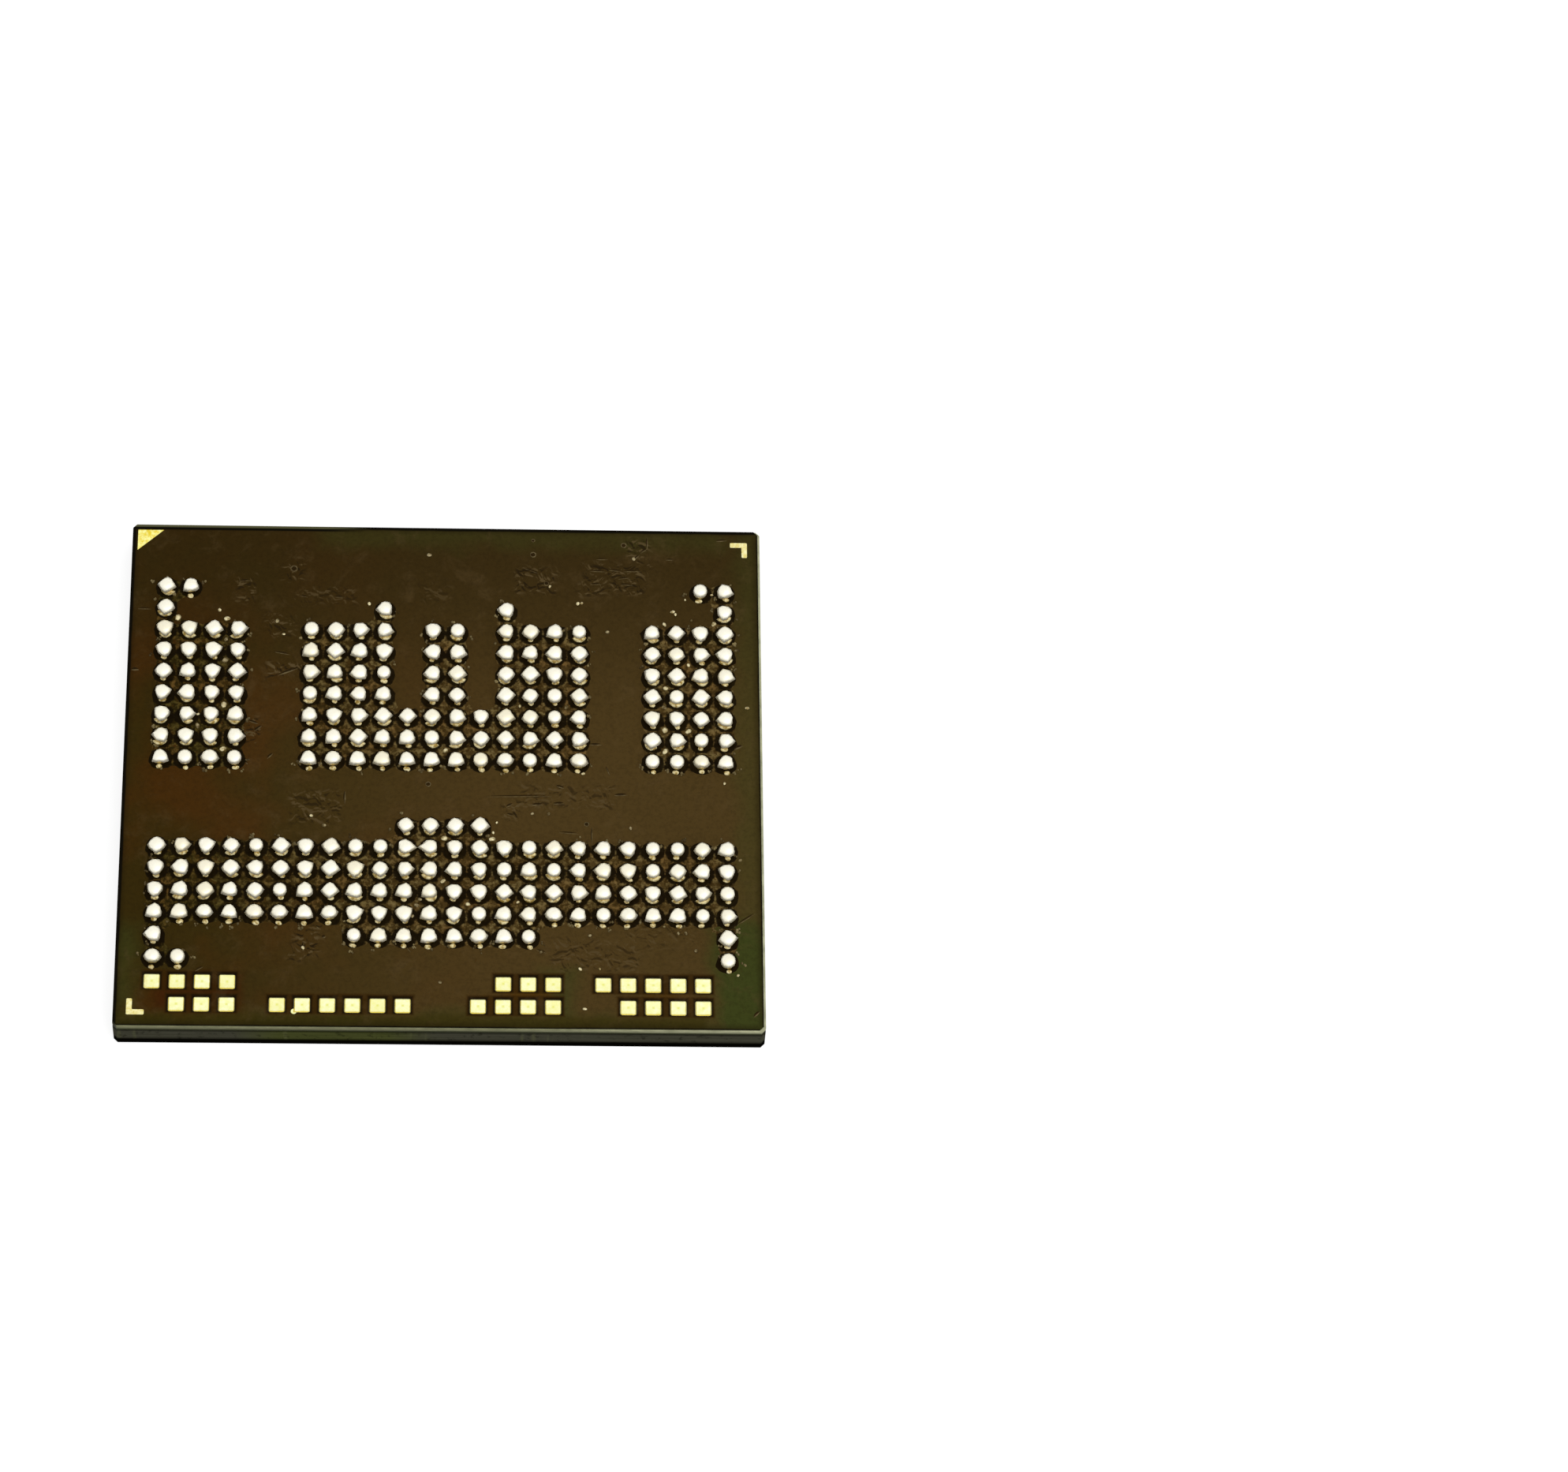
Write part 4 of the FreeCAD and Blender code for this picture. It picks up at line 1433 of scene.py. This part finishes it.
# Scuffs: burrs that handling and the test socket have raised in the lacquer, paler than the rest as painted
# highlight, each with a dark sliver just behind it as painted shadow. Each is a sliver with its ends drawn to
# points, lying flat on the lacquer. The list gives where it starts and ends, and half its width, in
# millimetres.
scuffs = [
    (-3.41, 2.22, -3.02, 2.38, 0.022), (-3.49, 2.76, -3.18, 2.70, 0.014),
    (-6.41, 2.31, -6.26, 2.31, 0.026), (-3.98, 1.15, -3.79, 1.08, 0.018),
    (-3.87, 0.91, -3.72, 1.03, 0.018), (-3.98, 0.15, -4.02, 0.20, 0.018),
    (-2.30, 4.07, -2.09, 4.07, 0.010), (-3.47, 0.40, -3.59, 0.28, 0.016),
    (-3.00, 4.09, -2.85, 4.06, 0.012), (-4.27, 4.42, -4.05, 4.44, 0.012),
    (-6.33, 3.74, -6.05, 3.74, 0.010), (2.97, 4.76, 3.30, 4.75, 0.012), (3.36, 4.79, 3.62, 4.76, 0.012),
    (3.66, 4.76, 4.02, 4.77, 0.012), (2.97, 4.44, 3.22, 4.45, 0.010), (3.10, 5.04, 3.34, 5.04, 0.012),
    (4.16, 5.56, 4.16, 5.31, 0.018), (4.16, 5.31, 4.02, 5.20, 0.012), (4.00, 5.15, 3.88, 5.04, 0.012),
    (4.55, 5.05, 4.71, 5.05, 0.010), (5.59, 5.51, 5.82, 5.53, 0.014), (2.95, 0.68, 3.22, 0.68, 0.016),
    (3.31, 0.17, 3.38, -0.03, 0.014), (5.89, 0.60, 6.10, 0.69, 0.028), (1.59, 4.82, 1.91, 4.69, 0.010),
    (3.63, 4.45, 3.86, 4.43, 0.012), (3.56, 4.58, 3.79, 4.61, 0.012),
    (-1.99, -0.45, -1.99, -0.74, 0.022), (-2.44, -3.56, -2.50, -3.51, 0.018),
    (-2.39, -3.76, -2.31, -3.74, 0.022), (-2.75, -3.87, -2.76, -4.06, 0.018),
    (-0.70, -3.94, -0.61, -4.06, 0.010), (-4.73, -4.43, -4.90, -4.53, 0.012),
    (0.88, -0.54, 2.21, -0.51, 0.010), (1.80, -0.72, 2.03, -0.71, 0.023),
    (2.23, -0.69, 2.46, -0.68, 0.020), (3.47, -0.48, 3.74, -0.47, 0.020),
    (3.02, -1.21, 3.02, -1.61, 0.012), (5.92, -3.41, 6.32, -3.13, 0.012),
    (6.25, -5.45, 6.38, -5.32, 0.020), (1.91, -3.99, 2.11, -4.06, 0.012),
    (2.35, -1.34, 2.75, -1.37, 0.010), (2.30, -0.28, 2.45, -0.33, 0.020),
    (1.27, -0.78, 1.42, -0.70, 0.014), (1.29, -0.93, 1.45, -0.98, 0.012),
]

# Scuffed lacquer: a little paler and drier than the skin round it, a painted highlight on the burrs and on
# the rims of the vias
torn = mottled(
    "scuffed lacquer painted lit",
    9 / mm,
    2.0,
    "#46371c",
    "#6c5e3e",
    low=0.35,
    high=0.65,
    Roughness=0.6,
    Specular_IOR_Level=0.1,
)
# Lacquer in painted shade: the painted shadow beside a burr and the painted shade in the dent of a via, dark
# and glossier
lacquer_in_painted_shade = mottled(
    "lacquer in painted shade", 9 / mm, 2.0, "#191004", "#38290f", Roughness=0.4, Specular_IOR_Level=0.02
)

bpy.ops.object.select_all(action="DESELECT")
bpy.ops.mesh.primitive_cube_add(size=1 * mm, location=(0, 0, 0))
sliver = bpy.context.object
edit(sliver)
bpy.ops.mesh.select_all(action="SELECT")
bpy.ops.mesh.subdivide(number_cuts=2)
pick(sliver, "verts", lambda v: abs(v.co.x) > 0.4 * mm)
bpy.ops.transform.resize(value=(1, 0.15, 0.3), center_override=(0, 0, 0))
pick(sliver, "verts", lambda v: v.co.z > 0.1 * mm)
bpy.ops.transform.resize(value=(0.9, 0.4, 1), center_override=(0, 0, 0))
close(sliver)


def sliver_for(spot):
    """A sliver as long, turned, broad and high as the spot says, in millimetres and radians."""
    return sliver, spot[3], (spot[2], spot[4], spot[5])


burrs = []
burr_shadows = []
for from_x, from_y, to_x, to_y, half_width in scuffs:
    length = math.dist((from_x, from_y), (to_x, to_y))
    turn = math.atan2(to_y - from_y, to_x - from_x)
    middle_x = (from_x + to_x) / 2
    middle_y = (from_y + to_y) / 2
    burrs.append((middle_x * mm, middle_y * mm, length, turn, half_width * 2, 0.008))
    # A dark sliver just behind each burr: painted shadow of the burr
    burr_shadow_place = ((middle_x - 0.01) * mm, (middle_y + 0.03) * mm)
    burr_shadows.append((*burr_shadow_place, length * 0.85, turn, half_width * 3, 0.004))
for name, slivers, material in (("scuff_burrs", burrs, torn), ("scuff_burr_shadows", burr_shadows, lacquer_in_painted_shade)):
    sliver_piece = spread(sliver_for, slivers)
    settled(sliver_piece, 0)
    finish(sliver_piece, name, "solder_mask", material)
discard(sliver)


# Plugged vias: holes drilled through the laminate, plated, filled with resin and lacquered over.
# The lacquer sinks a little in the middle of each, so it shows as a faint ring: a pale rim painted as
# highlight round a thin dark disc painted as the shade of the dent. Each has its place and its radius in
# millimetres.
plugs = [
    (1.79, 5.14, 0.069), (3.67, 5.39, 0.064), (1.79, 5.48, 0.041), (-3.15, 4.74, 0.079),
    (-0.31, -0.26, 0.061), (2.91, -1.14, 0.055), (2.07, 4.46, 0.055), (3.33, 3.32, 0.046),
]
bpy.ops.object.select_all(action="DESELECT")
bpy.ops.mesh.primitive_torus_add(
    major_segments=16, minor_segments=6, major_radius=0.8 * mm, minor_radius=0.2 * mm, location=(0, 0, 0)
)
plug_rim = bpy.context.object
edit(plug_rim)
bpy.ops.mesh.select_all(action="SELECT")
bpy.ops.transform.resize(value=(1, 1, 0.35), center_override=(0, 0, 0))
bpy.ops.transform.vertex_random(offset=0.05 * mm, uniform=1, seed=5)
close(plug_rim)


def plug_for(spot):
    """A rim of the radius in millimetres that the spot gives."""
    return plug_rim, spot[2] * 30, (spot[2], spot[2], spot[2])


plug_piece = spread(plug_for, [(x * mm, y * mm, radius) for x, y, radius in plugs])
settled(plug_piece, 0)
finish(plug_piece, "plugged_vias", "solder_mask", torn)
discard(plug_rim)
# A thin dark disc in the middle of each via: painted shade of the dent
dent_shades = spread(bead_for, [(x * mm, y * mm, radius * 0.75, radius * 0.7) for x, y, radius in plugs])
only(dent_shades)
bpy.ops.transform.resize(value=(1, 1, 0.2), center_override=(0, 0, 0))
settled(dent_shades, 0)
finish(dent_shades, "via_dent_shades", "solder_mask", lacquer_in_painted_shade)
discard(bead)


# Studio: a white sweep under the package and one broad soft lamp above it, in front on the right.
# The floor keeps the faint shadow at the left, and shows white to the eye and in the metal.
def light_path_share(material, low, high):
    """Value that is high for rays from the eye, from gloss and through glass, and low for the rest."""
    path = add_node(material, "ShaderNodeLightPath", {}, {}).node.outputs
    seen = path["Is Camera Ray"]
    for ray in ("Is Glossy Ray", "Is Transmission Ray"):
        seen = add_node(material, "ShaderNodeMath", {"operation": "MAXIMUM"}, {0: seen, 1: path[ray]})
    return add_node(material, "ShaderNodeMapRange", {}, {"Value": seen, "To Min": low, "To Max": high})


under_gap = 0.004 * mm
bpy.ops.object.select_all(action="DESELECT")
bpy.ops.mesh.primitive_plane_add(size=3, location=(0, 0, -under_gap))
floor = bpy.context.object
floor.name = "studio_floor"
paper = bpy.data.materials.new("white paper sweep")
paper.use_nodes = True
paper.node_tree.nodes.clear()
paper_glow = light_path_share(paper, 0.0, 0.76)
paper_diffuse = add_node(paper, "ShaderNodeBsdfDiffuse", {}, {"Color": (0.45, 0.45, 0.45, 1.0)})
paper_light = add_node(paper, "ShaderNodeEmission", {}, {"Strength": paper_glow})
paper_both = add_node(paper, "ShaderNodeAddShader", {}, {0: paper_diffuse, 1: paper_light})
# From below the paper is clear, and so it is in the thin gap under the package: the moulded face shows
from_below = add_node(paper, "ShaderNodeNewGeometry", {}, {}).node.outputs["Backfacing"]
ray_length = add_node(paper, "ShaderNodeLightPath", {}, {}).node.outputs["Ray Length"]
under_package = add_node(
    paper, "ShaderNodeMath", {"operation": "LESS_THAN"}, {0: ray_length, 1: 2.5 * under_gap}
)
is_clear = add_node(paper, "ShaderNodeMath", {"operation": "MAXIMUM"}, {0: from_below, 1: under_package})
clear_paper = add_node(paper, "ShaderNodeBsdfTransparent", {}, {})
paper_seen = add_node(paper, "ShaderNodeMixShader", {}, {0: is_clear, 1: paper_both, 2: clear_paper})
add_node(paper, "ShaderNodeOutputMaterial", {}, {"Surface": paper_seen})
floor.data.materials.append(paper)

world = bpy.data.worlds.new("studio white")
bpy.context.scene.world = world
world.use_nodes = True
world.node_tree.nodes.clear()
room_strength = light_path_share(world, 0.60, 1.0)
room = add_node(
    world, "ShaderNodeBackground", {}, {"Color": (1.0, 1.0, 1.0, 1.0), "Strength": room_strength}
)
add_node(world, "ShaderNodeOutputWorld", {}, {"Surface": room})

softbox_place = Vector((90, -95, 200)) * mm
softbox_side = 230 * mm
softbox_power = 0.22
bpy.ops.object.light_add(type="AREA", location=softbox_place)
softbox = bpy.context.object
softbox.name = "softbox"
softbox.data.shape = "SQUARE"
softbox.data.size = softbox_side
softbox.data.energy = softbox_power
softbox.rotation_euler = softbox_place.to_track_quat("Z", "Y").to_euler()


# Camera: a long lens held in front and well above, turned a little, as the photograph was taken.
azimuth = -0.106551
elevation = 1.077533
roll = 0.105002
aim = Vector((6.9405, 0.8705, 0.91)) * mm
distance = 123.0568 * mm
back = Vector(
    (
        math.sin(azimuth) * math.cos(elevation),
        -math.cos(azimuth) * math.cos(elevation),
        math.sin(elevation),
    )
)
camera_data = bpy.data.cameras.new("camera")
camera_data.lens = 138.14
camera_data.sensor_width = 36
camera_data.sensor_fit = "HORIZONTAL"
camera_data.clip_start = 1 * mm
camera = bpy.data.objects.new("camera", camera_data)
camera.location = aim + back * distance
camera.rotation_mode = "QUATERNION"
camera.rotation_quaternion = back.to_track_quat("Z", "Y") @ Quaternion((0, 0, 1), roll)
bpy.context.scene.collection.objects.link(camera)
bpy.context.scene.camera = camera
bpy.context.scene.view_settings.view_transform = "Standard"
